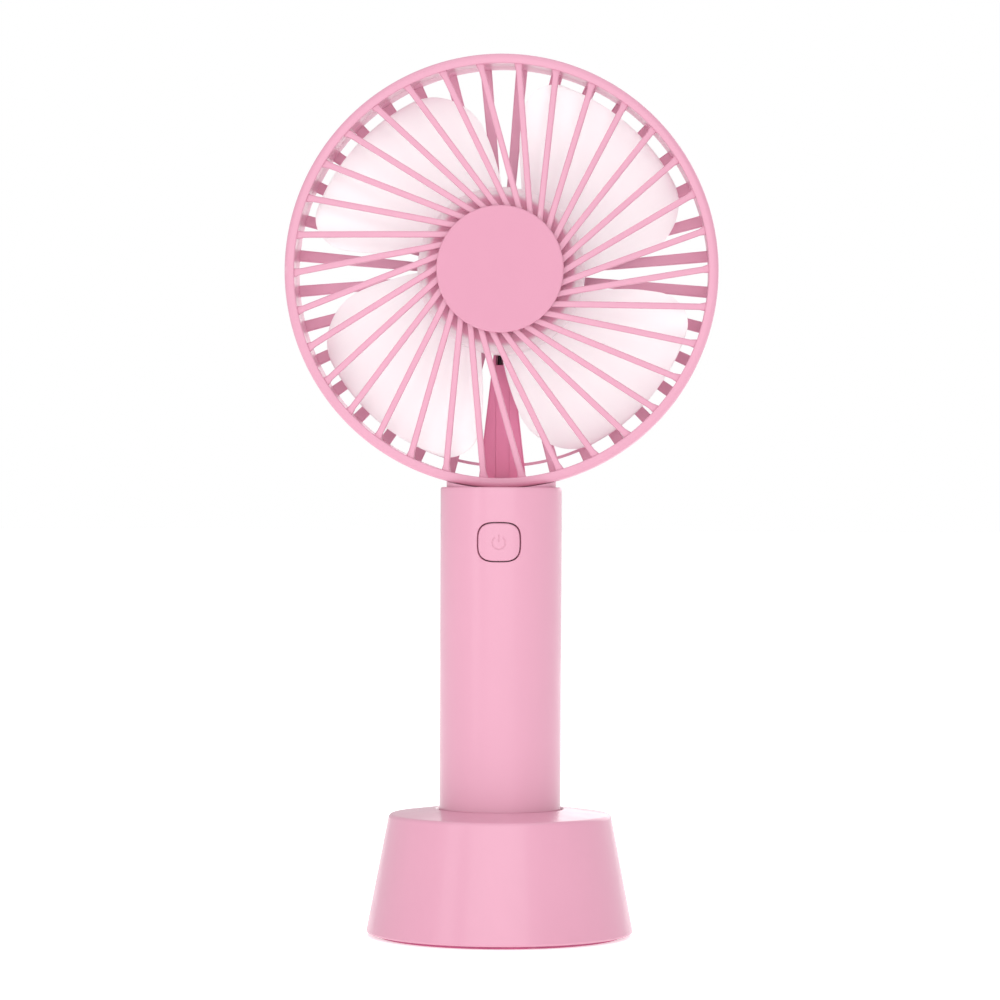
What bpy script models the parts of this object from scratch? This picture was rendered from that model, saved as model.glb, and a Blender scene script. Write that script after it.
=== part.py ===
"""Handheld electric fan on its desk stand.

Metres, +Z up, the fan faces -Y and the origin is the middle of the stand's underside.
The stand and the handle are turned about Z. The head is turned about an axis along Y
at HEAD_Z, and its parts hang on an empty there. Angles round the head are counted
clockwise from straight up, as seen from the front.
"""

from math import cos, pi, radians, sin, sqrt

import bmesh
import bpy
from mathutils import Matrix, Vector

MM = 0.001
TURN = 2 * pi
GAP = 0.3 * MM  # between pieces that meet
RUNNING_FIT = 0.08 * MM  # between the shaft and its bushes

# Screws, all of one pan-head kind
SCREW_CORE = 0.9 * MM
SCREW_HEAD_RADIUS = 1.9 * MM
SCREW_HEAD_HEIGHT = 0.9 * MM
SCREW_HOLE = 1.2 * MM  # radius of the hole round the shank

# Stand
STAND_HEIGHT = 29.6 * MM  # at the rim of the top face
STAND_CROWN = 1.3 * MM  # rise of the top face from its rim to the socket's mouth
STAND_FOOT_RADIUS = 32.5 * MM
STAND_TOP_RADIUS = 27.15 * MM
STAND_WALL = 2.0 * MM
STAND_EDGE = 0.8 * MM  # the shell stops this far above the table
STAND_STEPS = 40
SOCKET_FLOOR = 8.0 * MM
SOCKET_WALL = 1.8 * MM
FOOT_PAD_THICKNESS = 1.4 * MM
BASE_PLATE_TOP = 3.9 * MM
STAND_SCREW_CIRCLE = 21.2 * MM
STAND_SCREW_ANGLES = (90, 210, 330)
STAND_POST_RADIUS = 2.6 * MM
STAND_POST_HOLE_TOP = 13.0 * MM
STAND_SCREW_LENGTH = 7.0 * MM
STAND_SCREW_SINK_RADIUS = 2.2 * MM
STAND_SCREW_LEDGE = 0.8 * MM  # plate left under the screw's head

# Handle
HANDLE_RADIUS = 14.75 * MM
HANDLE_BORE = 13.1 * MM
HANDLE_TOP = 109.0 * MM
HANDLE_STEPS = 20  # steps of each half
HANDLE_FOOT = SOCKET_FLOOR + GAP
CAP_HEIGHT = 3.0 * MM
CAP_FLOOR = HANDLE_FOOT + 2.7 * MM
SHELL_FOOT = HANDLE_FOOT + CAP_HEIGHT + GAP
NECK_SEAT = 105.0 * MM
NECK_SEAT_BORE = 13.6 * MM
NECK_RADIUS = NECK_SEAT_BORE - GAP
NECK_LIP_BORE = 12.2 * MM
NECK_LIP_HEIGHT = 2.0 * MM
HANDLE_SCREW_X = 4.6 * MM
HANDLE_SCREW_Z = 86.9 * MM
HANDLE_SCREW_SEAT = 4.2 * MM
HANDLE_SCREW_LENGTH = 8.0 * MM
HANDLE_WELL_RADIUS = 2.3 * MM
HANDLE_BOSS_RADIUS = 2.9 * MM
HANDLE_POST_RADIUS = 2.0 * MM
HANDLE_POST_BACK = 1.7 * MM
HANDLE_POST_HOLE_FRONT = -5.0 * MM
INSERT_RADIUS = 14.0 * MM  # ribs, posts and bosses sink into the wall up to here
CUT_REACH = 17.0 * MM  # cutters run from the handle's axis out to here
CAP_PLUG_TOP = SHELL_FOOT + 3.6 * MM
COIN_SLOT_DEPTH = 1.3 * MM

# Cell
CELL_RADIUS = 9.3 * MM
CELL_LENGTH = 65.0 * MM
CELL_FOOT = 17.6 * MM
CELL_RIB_HEIGHTS = (30 * MM, 68 * MM)
CELL_RIB_THICKNESS = 1.4 * MM
CELL_RIB_SPAN = 110
CONTACT_THICKNESS = 0.5 * MM

# Button and boards
BUTTON_Z = 95.8 * MM
BUTTON_HALF_WIDTH = 5.2 * MM
BUTTON_HALF_HEIGHT = 4.55 * MM
BUTTON_GAP = 0.35 * MM
BUTTON_PROUD = 0.25 * MM
BUTTON_BACK = -10.8 * MM
BUTTON_LIP_HALF_WIDTH = 6.0 * MM
BUTTON_LIP_HALF_HEIGHT = 5.3 * MM
PLUNGER_RADIUS = 1.5 * MM
BOARD_FOOT = 90.2 * MM
CONTROL_BOARD_Y = -6.5 * MM
CHARGE_BOARD_Y = 8.5 * MM
BOARD_THICKNESS = 1.2 * MM
USB_Z = 95.0 * MM
USB_HALF_WIDTH = 3.75 * MM
USB_HALF_HEIGHT = 1.3 * MM
USB_SHEET = 0.3 * MM
USB_MOUTH = 14.0 * MM
USB_WINDOW_SLACK = 0.35 * MM
LED_X = 6.2 * MM
LED_RADIUS = 1.2 * MM
LED_FRONT = 13.3 * MM

# Head
HEAD_Z = 161.3 * MM
RING_RADIUS = 52.5 * MM
RING_BORE = 50.1 * MM
RING_HALF_DEPTH = 8.0 * MM
RING_SEAM_Y = -3.4 * MM
RING_STEPS = 48
RING_EDGE = 1.4 * MM
SKIRT_RADIUS = 51.2 * MM
SKIRT_END = RING_SEAM_Y + 2.0 * MM
SPOKE_COUNT = 34
SPOKE_WIDTH = 1.5 * MM
SPOKE_DEPTH = 1.8 * MM
SPOKE_TANGENT_RADIUS = 8.2 * MM  # every spoke's line passes this far from the centre
SPOKE_PHASE = -4.8
SPOKE_REACH = (11.4 * MM, 50.4 * MM)
GUARD_HUB_RADIUS = 15.0 * MM
BADGE_RADIUS = 15.3 * MM
BADGE_PEG_RADIUS = 2.0 * MM
BADGE_FRONT = -15.3 * MM
GUARD_HUB_FRONT = -14.3 * MM
GUARD_HUB_BACK = -11.7 * MM
RIB_COUNT = 36
RIB_PHASE = 5.0
RIB_DEPTH = 1.8 * MM
RIB_REACH = (18.7 * MM, 51.0 * MM)
RIB_WIDTHS = (2.1 * MM, 2.8 * MM)
ARC_RIB_RADIUS = 47.0 * MM
ARC_RIB_WIDTH = 0.7 * MM
ARC_RIB_SPAN = 51
STRUT_FRONT = 6.2 * MM
STRUT_BACK = 9.6 * MM
STRUT_HALF_ANGLE = 6.6
CHANNEL_HALF_WIDTH = 1.7 * MM
CHANNEL_BACK = 8.3 * MM
LUG_COUNT = 4
LUG_SPAN = 6.0
TWIST = 8.0

# Motor and rotor
MOTOR_RADIUS = 12.2 * MM
MOTOR_FRONT = -2.5 * MM
MOTOR_BACK = 9.8 * MM
SHAFT_RADIUS = 1.0 * MM
MOTOR_SCREW_X = 8.5 * MM
MOTOR_BOSS_RADIUS = 3.0 * MM
MOTOR_PLATE = 1.2 * MM
REAR_HUB_RADIUS = 19.6 * MM
REAR_HUB_FRONT = 7.0 * MM
REAR_HUB_BACK = 9.9 * MM
COVER_RADIUS = 18.8 * MM
COVER_FRONT = REAR_HUB_BACK + GAP
COVER_WALL = 1.2 * MM
COVER_RISE = 2.8 * MM
COVER_INNER_RISE = 2.0 * MM
VENT_COUNT = 6
VENT_CIRCLE = 8.5 * MM
PEG_CIRCLE = 16.0 * MM
PEG_RADIUS = 0.9 * MM
ROTOR_HUB_RADIUS = 20.2 * MM
ROTOR_FRONT = -10.2 * MM
ROTOR_BACK = 1.6 * MM
ROTOR_WALL = 1.4 * MM
BLADE_COUNT = 4
BLADE_TIP_RADIUS = 47.2 * MM
BLADE_ROOT_RADIUS = 19.5 * MM
BLADE_THICKNESS = 1.1 * MM
BLADE_CAMBER = 0.8 * MM
BLADE_SWEEP = 0.49 / MM  # degrees that the leading edge falls back for each metre outwards

FINISHES = {
    "pink": ((0.83, 0.40, 0.58), 0.42, 0.0),
    "milky": ((0.95, 0.88, 0.91), 0.35, 0.0),
    "rubber": ((0.10, 0.09, 0.10), 0.85, 0.0),
    "white": ((0.85, 0.84, 0.82), 0.45, 0.0),
    "steel": ((0.62, 0.62, 0.63), 0.30, 1.0),
    "brass": ((0.72, 0.55, 0.28), 0.35, 1.0),
    "copper": ((0.70, 0.36, 0.20), 0.35, 1.0),
    "board": ((0.03, 0.22, 0.10), 0.50, 0.0),
    "black": ((0.03, 0.03, 0.035), 0.45, 0.0),
    "magnet": ((0.14, 0.14, 0.15), 0.60, 0.0),
    "red": ((0.60, 0.05, 0.04), 0.45, 0.0),
    "sleeve": ((0.10, 0.30, 0.55), 0.35, 0.0),
}


# ---------------------------------------------------------------- helpers


def clear_scene():
    for item in list(bpy.data.objects):
        bpy.data.objects.remove(item, do_unlink=True)


def finish(name, kind):
    colour, roughness, metallic = FINISHES[kind]
    made = bpy.data.materials.new(name)
    made.use_nodes = True
    shader = made.node_tree.nodes["Principled BSDF"]
    shader.inputs["Base Color"].default_value = (*colour, 1.0)
    shader.inputs["Roughness"].default_value = roughness
    shader.inputs["Metallic"].default_value = metallic
    made.diffuse_color = (*colour, 1.0)
    return made


def place(name, bm, parent=None):
    """Makes an object of the bmesh, with its faces pointing out."""
    bmesh.ops.recalc_face_normals(bm, faces=bm.faces)
    mesh = bpy.data.meshes.new(name)
    bm.to_mesh(mesh)
    bm.free()
    mesh.shade_smooth()
    mesh.set_sharp_from_angle(angle=radians(35))
    made = bpy.data.objects.new(name, mesh)
    bpy.context.collection.objects.link(made)
    made.parent = parent
    return made


def piece(name, kind, bm, parent=None):
    made = place(name, bm, parent)
    made.data.materials.append(finish(name, kind))
    return made


def tool(name, bm, parent=None):
    """A cutter, or a shape to join, that stays out of the model itself."""
    made = place(name, bm, parent)
    made.hide_render = True
    made.display_type = "WIRE"
    return made


def boolean(target, operation, *tools):
    for other in tools:
        change = target.modifiers.new(other.name, "BOOLEAN")
        change.operation = operation
        change.solver = "EXACT"
        change.object = other


def empty(name, location):
    made = bpy.data.objects.new(name, None)
    made.location = location
    bpy.context.collection.objects.link(made)
    return made


def arc(centre, radius, start, end, steps):
    """Points of an arc in degrees, counted anticlockwise from the first axis."""
    turn = [radians(start + (end - start) * i / steps) for i in range(steps + 1)]
    return [(centre[0] + radius * cos(a), centre[1] + radius * sin(a)) for a in turn]


def circle(radius, centre=(0.0, 0.0), steps=24):
    return arc(centre, radius, 0, 360, steps)[:-1]


def rounded(half_width, half_height, centre=(0.0, 0.0), power=3.2, steps=28):
    """A superellipse: a rectangle with full, soft corners."""
    points = []
    for i in range(steps):
        c = cos(TURN * i / steps)
        s = sin(TURN * i / steps)
        x = half_width * abs(c) ** (2 / power) * (1 if c >= 0 else -1)
        y = half_height * abs(s) ** (2 / power) * (1 if s >= 0 else -1)
        points.append((centre[0] + x, centre[1] + y))
    return points


def rectangle(low, high):
    return [low, (high[0], low[1]), high, (low[0], high[1])]


def turned(bm, outline, axis="Z", steps=48, start=0.0, sweep=360.0):
    """Adds a solid swung round an axis from an outline of (radius, height) points."""
    if axis == "Z":
        spots = [Vector((r, 0, h)) for r, h in outline]
        direction = Vector((0, 0, 1))
    else:
        spots = [Vector((0, h, r)) for r, h in outline]
        direction = Vector((0, 1, 0))
    swing = Matrix.Rotation(radians(start), 4, direction)
    verts = [bm.verts.new(swing @ spot) for spot in spots]
    whole = sweep == 360.0
    if whole:
        pairs = zip(range(len(verts)), [*range(1, len(verts)), 0])
        edges = [bm.edges.new((verts[a], verts[b])) for a, b in pairs if outline[a][0] or outline[b][0]]
        geometry = verts + edges
    else:
        geometry = [bm.faces.new(verts)]
    bmesh.ops.spin(
        bm,
        geom=geometry,
        cent=(0, 0, 0),
        axis=direction,
        angle=radians(sweep),
        steps=steps,
        use_merge=whole,
    )
    bmesh.ops.remove_doubles(bm, verts=bm.verts, dist=1e-7)
    return bm


def prism(bm, outline, axis, low, high):
    """Adds a straight solid: an outline carried along an axis from low to high."""
    to_space = {
        "X": lambda u, v, w: (w, u, v),
        "Y": lambda u, v, w: (u, w, v),
        "Z": lambda u, v, w: (u, v, w),
    }[axis]
    face = bm.faces.new([bm.verts.new(to_space(u, v, low)) for u, v in outline])
    carried = bmesh.ops.extrude_face_region(bm, geom=[face])["geom"]
    moved = [item for item in carried if isinstance(item, bmesh.types.BMVert)]
    travel = Vector(to_space(0, 0, high - low))
    bmesh.ops.translate(bm, verts=moved, vec=travel)
    return bm


def box(bm, xs, ys, zs):
    return prism(bm, rectangle((xs[0], ys[0]), (xs[1], ys[1])), "Z", zs[0], zs[1])


def rod(bm, radius, axis, low, high, centre=(0.0, 0.0), steps=16):
    return prism(bm, circle(radius, centre, steps), axis, low, high)


def thickened(bm, verts, depth):
    """Extrudes the faces of those verts backwards and returns the verts that moved."""
    faces = list({face for vert in verts for face in vert.link_faces})
    carried = bmesh.ops.extrude_face_region(bm, geom=faces)["geom"]
    moved = [item for item in carried if isinstance(item, bmesh.types.BMVert)]
    bmesh.ops.translate(bm, verts=moved, vec=(0, depth, 0))
    return moved


def swung(bm, verts, turn):
    """Turns verts round the head's axis, in degrees."""
    swing = Matrix.Rotation(radians(turn), 3, "Y")
    bmesh.ops.rotate(bm, verts=verts, cent=(0, 0, 0), matrix=swing)
    return bm


def bar(bm, offset, reach, widths, front, depth, cuts, turn):
    """Adds a flat bar that runs outwards beside +Z and follows front(radius), turned round the head."""
    grid = bmesh.ops.create_grid(bm, x_segments=1, y_segments=cuts, size=0.5)["verts"]
    for vert in grid:
        along = vert.co.y + 0.5
        width = widths[0] + (widths[1] - widths[0]) * along
        x = offset + width * vert.co.x
        z = reach[0] + (reach[1] - reach[0]) * along
        vert.co = Vector((x, front(sqrt(x * x + z * z)), z))
    swung(bm, grid + thickened(bm, grid, depth), turn)


def screw(name, seat, up, length, parent=None):
    """A pan-head screw. Its head rests on the seat and rises along up, and its shank runs the other way."""
    point = 0.6 * MM
    chamfer = 0.3 * MM
    outline = [
        (0, -length),
        (point, -length),
        (SCREW_CORE, -length + point),
        (SCREW_CORE, 0),
        (SCREW_HEAD_RADIUS, 0),
        (SCREW_HEAD_RADIUS, SCREW_HEAD_HEIGHT - chamfer),
        (SCREW_HEAD_RADIUS - 0.5 * MM, SCREW_HEAD_HEIGHT),
        (0, SCREW_HEAD_HEIGHT),
    ]
    bm = turned(bmesh.new(), outline, "Z", 12)
    tilt = Vector((0, 0, 1)).rotation_difference(Vector(up)).to_matrix().to_4x4()
    bmesh.ops.transform(bm, matrix=Matrix.Translation(seat) @ tilt, verts=bm.verts)
    piece(name, "steel", bm, parent)


# ---------------------------------------------------------------- stand


def stand_radius(height):
    """Outer radius of the stand at a height."""
    return STAND_FOOT_RADIUS + (STAND_TOP_RADIUS - STAND_FOOT_RADIUS) * height / STAND_HEIGHT


def stand_screw_spots():
    turns = [radians(angle) for angle in STAND_SCREW_ANGLES]
    return [(STAND_SCREW_CIRCLE * cos(a), STAND_SCREW_CIRCLE * sin(a)) for a in turns]


def make_stand_shell():
    socket = HANDLE_RADIUS + GAP
    roof = STAND_HEIGHT - STAND_WALL
    edge = 1.0 * MM
    mouth = 0.7 * MM
    rim = (stand_radius(STAND_HEIGHT) - edge, STAND_HEIGHT - edge)
    outline = [
        (stand_radius(STAND_EDGE), STAND_EDGE),
        *arc(rim, edge, 10, 83, 3),
        (socket + mouth, STAND_HEIGHT + STAND_CROWN),
        (socket, STAND_HEIGHT + STAND_CROWN - mouth),
        (socket, SOCKET_FLOOR),
        (0, SOCKET_FLOOR),
        (0, SOCKET_FLOOR - SOCKET_WALL),
        (socket + SOCKET_WALL, SOCKET_FLOOR - SOCKET_WALL),
        (socket + SOCKET_WALL, roof),
        (stand_radius(roof) - STAND_WALL, roof),
        (stand_radius(STAND_EDGE) - STAND_WALL, STAND_EDGE),
    ]
    shell = piece("stand_shell", "pink", turned(bmesh.new(), outline, "Z", STAND_STEPS))
    posts = bmesh.new()
    holes = bmesh.new()
    for spot in stand_screw_spots():
        rod(posts, STAND_POST_RADIUS, "Z", BASE_PLATE_TOP + GAP, roof + STAND_WALL * 0.4, spot, 12)
        rod(holes, SCREW_HOLE, "Z", BASE_PLATE_TOP - GAP, STAND_POST_HOLE_TOP, spot, 12)
    boolean(shell, "UNION", tool("stand_posts", posts))
    boolean(shell, "DIFFERENCE", tool("stand_post_holes", holes))


def make_stand_base():
    low = FOOT_PAD_THICKNESS + GAP
    inner = stand_radius(BASE_PLATE_TOP) - STAND_WALL - GAP
    disc = rod(bmesh.new(), inner, "Z", low, BASE_PLATE_TOP, steps=STAND_STEPS)
    plate = piece("stand_base_plate", "pink", disc)
    ledge = BASE_PLATE_TOP - STAND_SCREW_LEDGE
    for number, spot in enumerate(stand_screw_spots(), 1):
        outline = [
            (0, low - MM),
            (STAND_SCREW_SINK_RADIUS, low - MM),
            (STAND_SCREW_SINK_RADIUS, ledge),
            (SCREW_HOLE, ledge),
            (SCREW_HOLE, BASE_PLATE_TOP + MM),
            (0, BASE_PLATE_TOP + MM),
        ]
        hole = turned(bmesh.new(), outline, "Z", 12)
        bmesh.ops.translate(hole, verts=hole.verts, vec=(*spot, 0))
        boolean(plate, "DIFFERENCE", tool(f"stand_plate_hole_{number}", hole))
        screw(f"stand_screw_{number}", (*spot, ledge - GAP), (0, 0, -1), STAND_SCREW_LENGTH)
    pad_radius = stand_radius(FOOT_PAD_THICKNESS) - STAND_WALL - GAP
    edge = 0.4 * MM
    outline = [
        (0, 0),
        (pad_radius - edge, 0),
        (pad_radius, edge),
        (pad_radius, FOOT_PAD_THICKNESS),
        (0, FOOT_PAD_THICKNESS),
    ]
    piece("stand_foot_pad", "rubber", turned(bmesh.new(), outline, "Z", STAND_STEPS))


# ---------------------------------------------------------------- handle


def half_tube(start):
    """Half of the handle tube. The seam's two faces stand half a gap back from it."""
    outline = [
        (HANDLE_RADIUS, SHELL_FOOT),
        (HANDLE_RADIUS, HANDLE_TOP),
        (NECK_SEAT_BORE, HANDLE_TOP),
        (NECK_SEAT_BORE, NECK_SEAT),
        (NECK_LIP_BORE, NECK_SEAT),
        (NECK_LIP_BORE, NECK_SEAT - NECK_LIP_HEIGHT),
        (HANDLE_BORE, NECK_SEAT - NECK_LIP_HEIGHT),
        (HANDLE_BORE, SHELL_FOOT),
    ]
    seam = GAP / 2 / HANDLE_RADIUS / pi * 180
    return turned(bmesh.new(), outline, "Z", HANDLE_STEPS, start + seam, 180 - 2 * seam)


def cell_ribs(bm, start):
    """Ribs inside one half that cradle the cell."""
    for height in CELL_RIB_HEIGHTS:
        high = height + CELL_RIB_THICKNESS
        outline = rectangle((CELL_RADIUS + GAP, height), (HANDLE_BORE + 0.5 * MM, high))
        turned(bm, outline, "Z", 6, start + (180 - CELL_RIB_SPAN) / 2, CELL_RIB_SPAN)


def joined_inserts(shell, side, inside):
    """Joins the inner ribs, posts and bosses to a shell, cut off round so that they end in its wall."""
    inserts = tool(f"{side}_inserts", inside)
    core = rod(bmesh.new(), INSERT_RADIUS, "Z", 0, HANDLE_TOP, steps=48)
    boolean(inserts, "INTERSECT", tool(f"{side}_core", core))
    boolean(shell, "UNION", inserts)


def handle_screw_spots():
    return ((-HANDLE_SCREW_X, HANDLE_SCREW_Z), (HANDLE_SCREW_X, HANDLE_SCREW_Z))


def make_handle_front():
    shell = piece("handle_front_shell", "pink", half_tube(180))
    inside = bmesh.new()
    cell_ribs(inside, 180)
    for spot in handle_screw_spots():
        rod(inside, HANDLE_POST_RADIUS, "Y", -HANDLE_RADIUS, HANDLE_POST_BACK, spot, 12)
    joined_inserts(shell, "front", inside)
    cuts = bmesh.new()
    window = rounded(BUTTON_HALF_WIDTH + BUTTON_GAP, BUTTON_HALF_HEIGHT + BUTTON_GAP, (0, BUTTON_Z))
    prism(cuts, window, "Y", -CUT_REACH, BUTTON_BACK + 1.8 * MM)
    for spot in handle_screw_spots():
        rod(cuts, SCREW_HOLE, "Y", HANDLE_POST_HOLE_FRONT, HANDLE_POST_BACK + MM, spot, 12)
    boolean(shell, "DIFFERENCE", tool("front_cuts", cuts))


def make_handle_rear():
    shell = piece("handle_rear_shell", "pink", half_tube(0))
    inside = bmesh.new()
    cell_ribs(inside, 0)
    boss_front = HANDLE_POST_BACK + GAP
    for spot in handle_screw_spots():
        rod(inside, HANDLE_BOSS_RADIUS, "Y", boss_front, HANDLE_RADIUS, spot, 16)
    joined_inserts(shell, "rear", inside)
    inner = 10 * MM
    window = rounded(
        USB_HALF_WIDTH + USB_WINDOW_SLACK, USB_HALF_HEIGHT + USB_WINDOW_SLACK, (0, USB_Z), 5, 24
    )
    cuts = prism(bmesh.new(), window, "Y", inner, CUT_REACH)
    rod(cuts, LED_RADIUS + GAP, "Y", inner, CUT_REACH, (LED_X, USB_Z), 16)
    for spot in handle_screw_spots():
        rod(cuts, HANDLE_WELL_RADIUS, "Y", HANDLE_SCREW_SEAT, CUT_REACH, spot, 16)
    boolean(shell, "DIFFERENCE", tool("rear_cuts", cuts))
    holes = bmesh.new()
    for side, (x, z) in zip(("left", "right"), handle_screw_spots()):
        rod(holes, SCREW_HOLE, "Y", boss_front - MM, HANDLE_SCREW_SEAT + MM, (x, z), 12)
        screw(f"handle_screw_{side}", (x, HANDLE_SCREW_SEAT + GAP, z), (0, 1, 0), HANDLE_SCREW_LENGTH)
    boolean(shell, "DIFFERENCE", tool("rear_screw_holes", holes))


def make_bottom_cap():
    plug = HANDLE_BORE - GAP
    edge = 0.6 * MM
    wall = 1.8 * MM
    outline = [
        (0, HANDLE_FOOT),
        (HANDLE_RADIUS - edge, HANDLE_FOOT),
        (HANDLE_RADIUS, HANDLE_FOOT + edge),
        (HANDLE_RADIUS, HANDLE_FOOT + CAP_HEIGHT),
        (plug, HANDLE_FOOT + CAP_HEIGHT),
        (plug, CAP_PLUG_TOP),
        (plug - wall, CAP_PLUG_TOP),
        (plug - wall, CAP_FLOOR),
        (0, CAP_FLOOR),
    ]
    cap = piece("bottom_cap", "pink", turned(bmesh.new(), outline, "Z", 2 * HANDLE_STEPS))
    heights = (HANDLE_FOOT - MM, HANDLE_FOOT + COIN_SLOT_DEPTH)
    slot = box(bmesh.new(), (-6 * MM, 6 * MM), (-0.9 * MM, 0.9 * MM), heights)
    boolean(cap, "DIFFERENCE", tool("coin_slot", slot))


def make_battery():
    top = CELL_FOOT + CELL_LENGTH
    edge = 0.5 * MM
    nub = 3.0 * MM
    shoulder = top - 0.7 * MM
    outline = [
        (0, CELL_FOOT),
        (CELL_RADIUS - edge, CELL_FOOT),
        (CELL_RADIUS, CELL_FOOT + edge),
        (CELL_RADIUS, shoulder - edge),
        (CELL_RADIUS - edge, shoulder),
        (nub, shoulder),
        (nub, top),
        (0, top),
    ]
    piece("battery_cell", "sleeve", turned(bmesh.new(), outline, "Z", 24))
    low = top + GAP
    plate = prism(bmesh.new(), rounded(4.5 * MM, 4.5 * MM, steps=16), "Z", low, low + CONTACT_THICKNESS)
    piece("battery_plus_contact", "steel", plate)
    heights = (CAP_PLUG_TOP + 0.4 * MM, USB_Z - 2 * MM)
    strip = box(bmesh.new(), (11.5 * MM, 11.9 * MM), (-1.5 * MM, 1.5 * MM), heights)
    piece("battery_minus_strip", "steel", strip)


def tube(name, kind, points, radius, parent=None, sides=2):
    """A round wire along a list of points."""
    curve = bpy.data.curves.new(name, "CURVE")
    curve.dimensions = "3D"
    curve.bevel_depth = radius
    curve.bevel_resolution = sides
    curve.use_fill_caps = True
    spline = curve.splines.new("POLY")
    spline.points.add(len(points) - 1)
    for spot, point in zip(spline.points, points):
        spot.co = (*point, 1.0)
    curve.materials.append(finish(name, kind))
    made = bpy.data.objects.new(name, curve)
    bpy.context.collection.objects.link(made)
    made.parent = parent
    return made


def make_battery_spring():
    """A conical coil that stands on the cap and presses on the cell."""
    wire = 0.4 * MM
    low = CAP_FLOOR + GAP + wire
    high = CELL_FOOT - GAP - wire
    turns = 3.5
    steps = 35
    points = []
    for i in range(steps + 1):
        share = i / steps
        angle = TURN * turns * share
        radius = (5.5 - 2.5 * share) * MM
        points.append((radius * cos(angle), radius * sin(angle), low + (high - low) * share))
    tube("battery_spring", "steel", points, wire, sides=1)


# ---------------------------------------------------------------- button and boards


def make_button():
    origin = empty("button_axis", (0, 0, BUTTON_Z))
    front = -(HANDLE_RADIUS + BUTTON_PROUD)
    cap = prism(bmesh.new(), rounded(BUTTON_HALF_WIDTH, BUTTON_HALF_HEIGHT), "Y", front - MM, BUTTON_BACK)
    button = piece("power_button", "pink", cap, origin)
    barrel = rod(bmesh.new(), -front, "Z", -8 * MM, 8 * MM, steps=96)
    boolean(button, "INTERSECT", tool("button_barrel", barrel, origin))
    outline = rounded(BUTTON_LIP_HALF_WIDTH, BUTTON_LIP_HALF_HEIGHT)
    lip_back = BUTTON_BACK + 0.4 * MM
    lip = prism(bmesh.new(), outline, "Y", BUTTON_BACK - GAP, lip_back)
    boolean(button, "UNION", tool("button_lip", lip, origin))
    plunger = rod(bmesh.new(), PLUNGER_RADIUS, "Y", lip_back + GAP, lip_back + 1.8 * MM)
    piece("switch_plunger", "black", plunger, origin)


def make_control_board():
    back = CONTROL_BOARD_Y + BOARD_THICKNESS
    board = box(bmesh.new(), (-7.4 * MM, 7.4 * MM), (CONTROL_BOARD_Y, back), (BOARD_FOOT, 102.6 * MM))
    piece("control_board", "board", board)
    body = box(
        bmesh.new(),
        (-3 * MM, 3 * MM),
        (-9.5 * MM, CONTROL_BOARD_Y - GAP),
        (BUTTON_Z - 3 * MM, BUTTON_Z + 3 * MM),
    )
    switch = piece("switch_body", "black", body)
    hole = rod(bmesh.new(), PLUNGER_RADIUS + GAP, "Y", BUTTON_BACK, -7.4 * MM, (0, BUTTON_Z))
    boolean(switch, "DIFFERENCE", tool("plunger_hole", hole))
    chip = box(bmesh.new(), (-2.5 * MM, 2.5 * MM), (back + GAP, back + 1.8 * MM), (92 * MM, 96 * MM))
    piece("driver_chip", "black", chip)


def make_charge_board():
    back = CHARGE_BOARD_Y + BOARD_THICKNESS
    board = box(bmesh.new(), (-7.2 * MM, 7.2 * MM), (CHARGE_BOARD_Y, back), (BOARD_FOOT, 101.2 * MM))
    piece("charge_board", "board", board)
    floor = back + GAP + 0.5 * MM
    outline = rounded(USB_HALF_WIDTH, USB_HALF_HEIGHT, (0, USB_Z), 6, 24)
    socket = piece("usb_socket", "steel", prism(bmesh.new(), outline, "Y", back + GAP, USB_MOUTH))
    outline = rounded(USB_HALF_WIDTH - USB_SHEET, USB_HALF_HEIGHT - USB_SHEET, (0, USB_Z), 6, 24)
    inside = prism(bmesh.new(), outline, "Y", floor, USB_MOUTH + MM)
    boolean(socket, "DIFFERENCE", tool("usb_mouth", inside))
    tongue = box(
        bmesh.new(),
        (-2 * MM, 2 * MM),
        (floor + GAP, USB_MOUTH - 0.6 * MM),
        (USB_Z - 0.3 * MM, USB_Z + 0.3 * MM),
    )
    piece("usb_tongue", "black", tongue)
    piece("charge_led", "white", rod(bmesh.new(), LED_RADIUS, "Y", back + GAP, LED_FRONT, (LED_X, USB_Z)))


# ---------------------------------------------------------------- head


def spoke_front(radius):
    """How far forward the guard's spokes stand at a radius."""
    rise = 6.755 * MM
    return -(7.6 * MM + rise * (1 - (radius / RING_BORE) ** 2))


def rib_front(radius):
    """Front of the rear ribs, which dish backwards towards the hub."""
    rise = 1.8 * MM
    return 6.0 * MM + rise * (1 - (radius / RING_BORE) ** 2)


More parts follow.
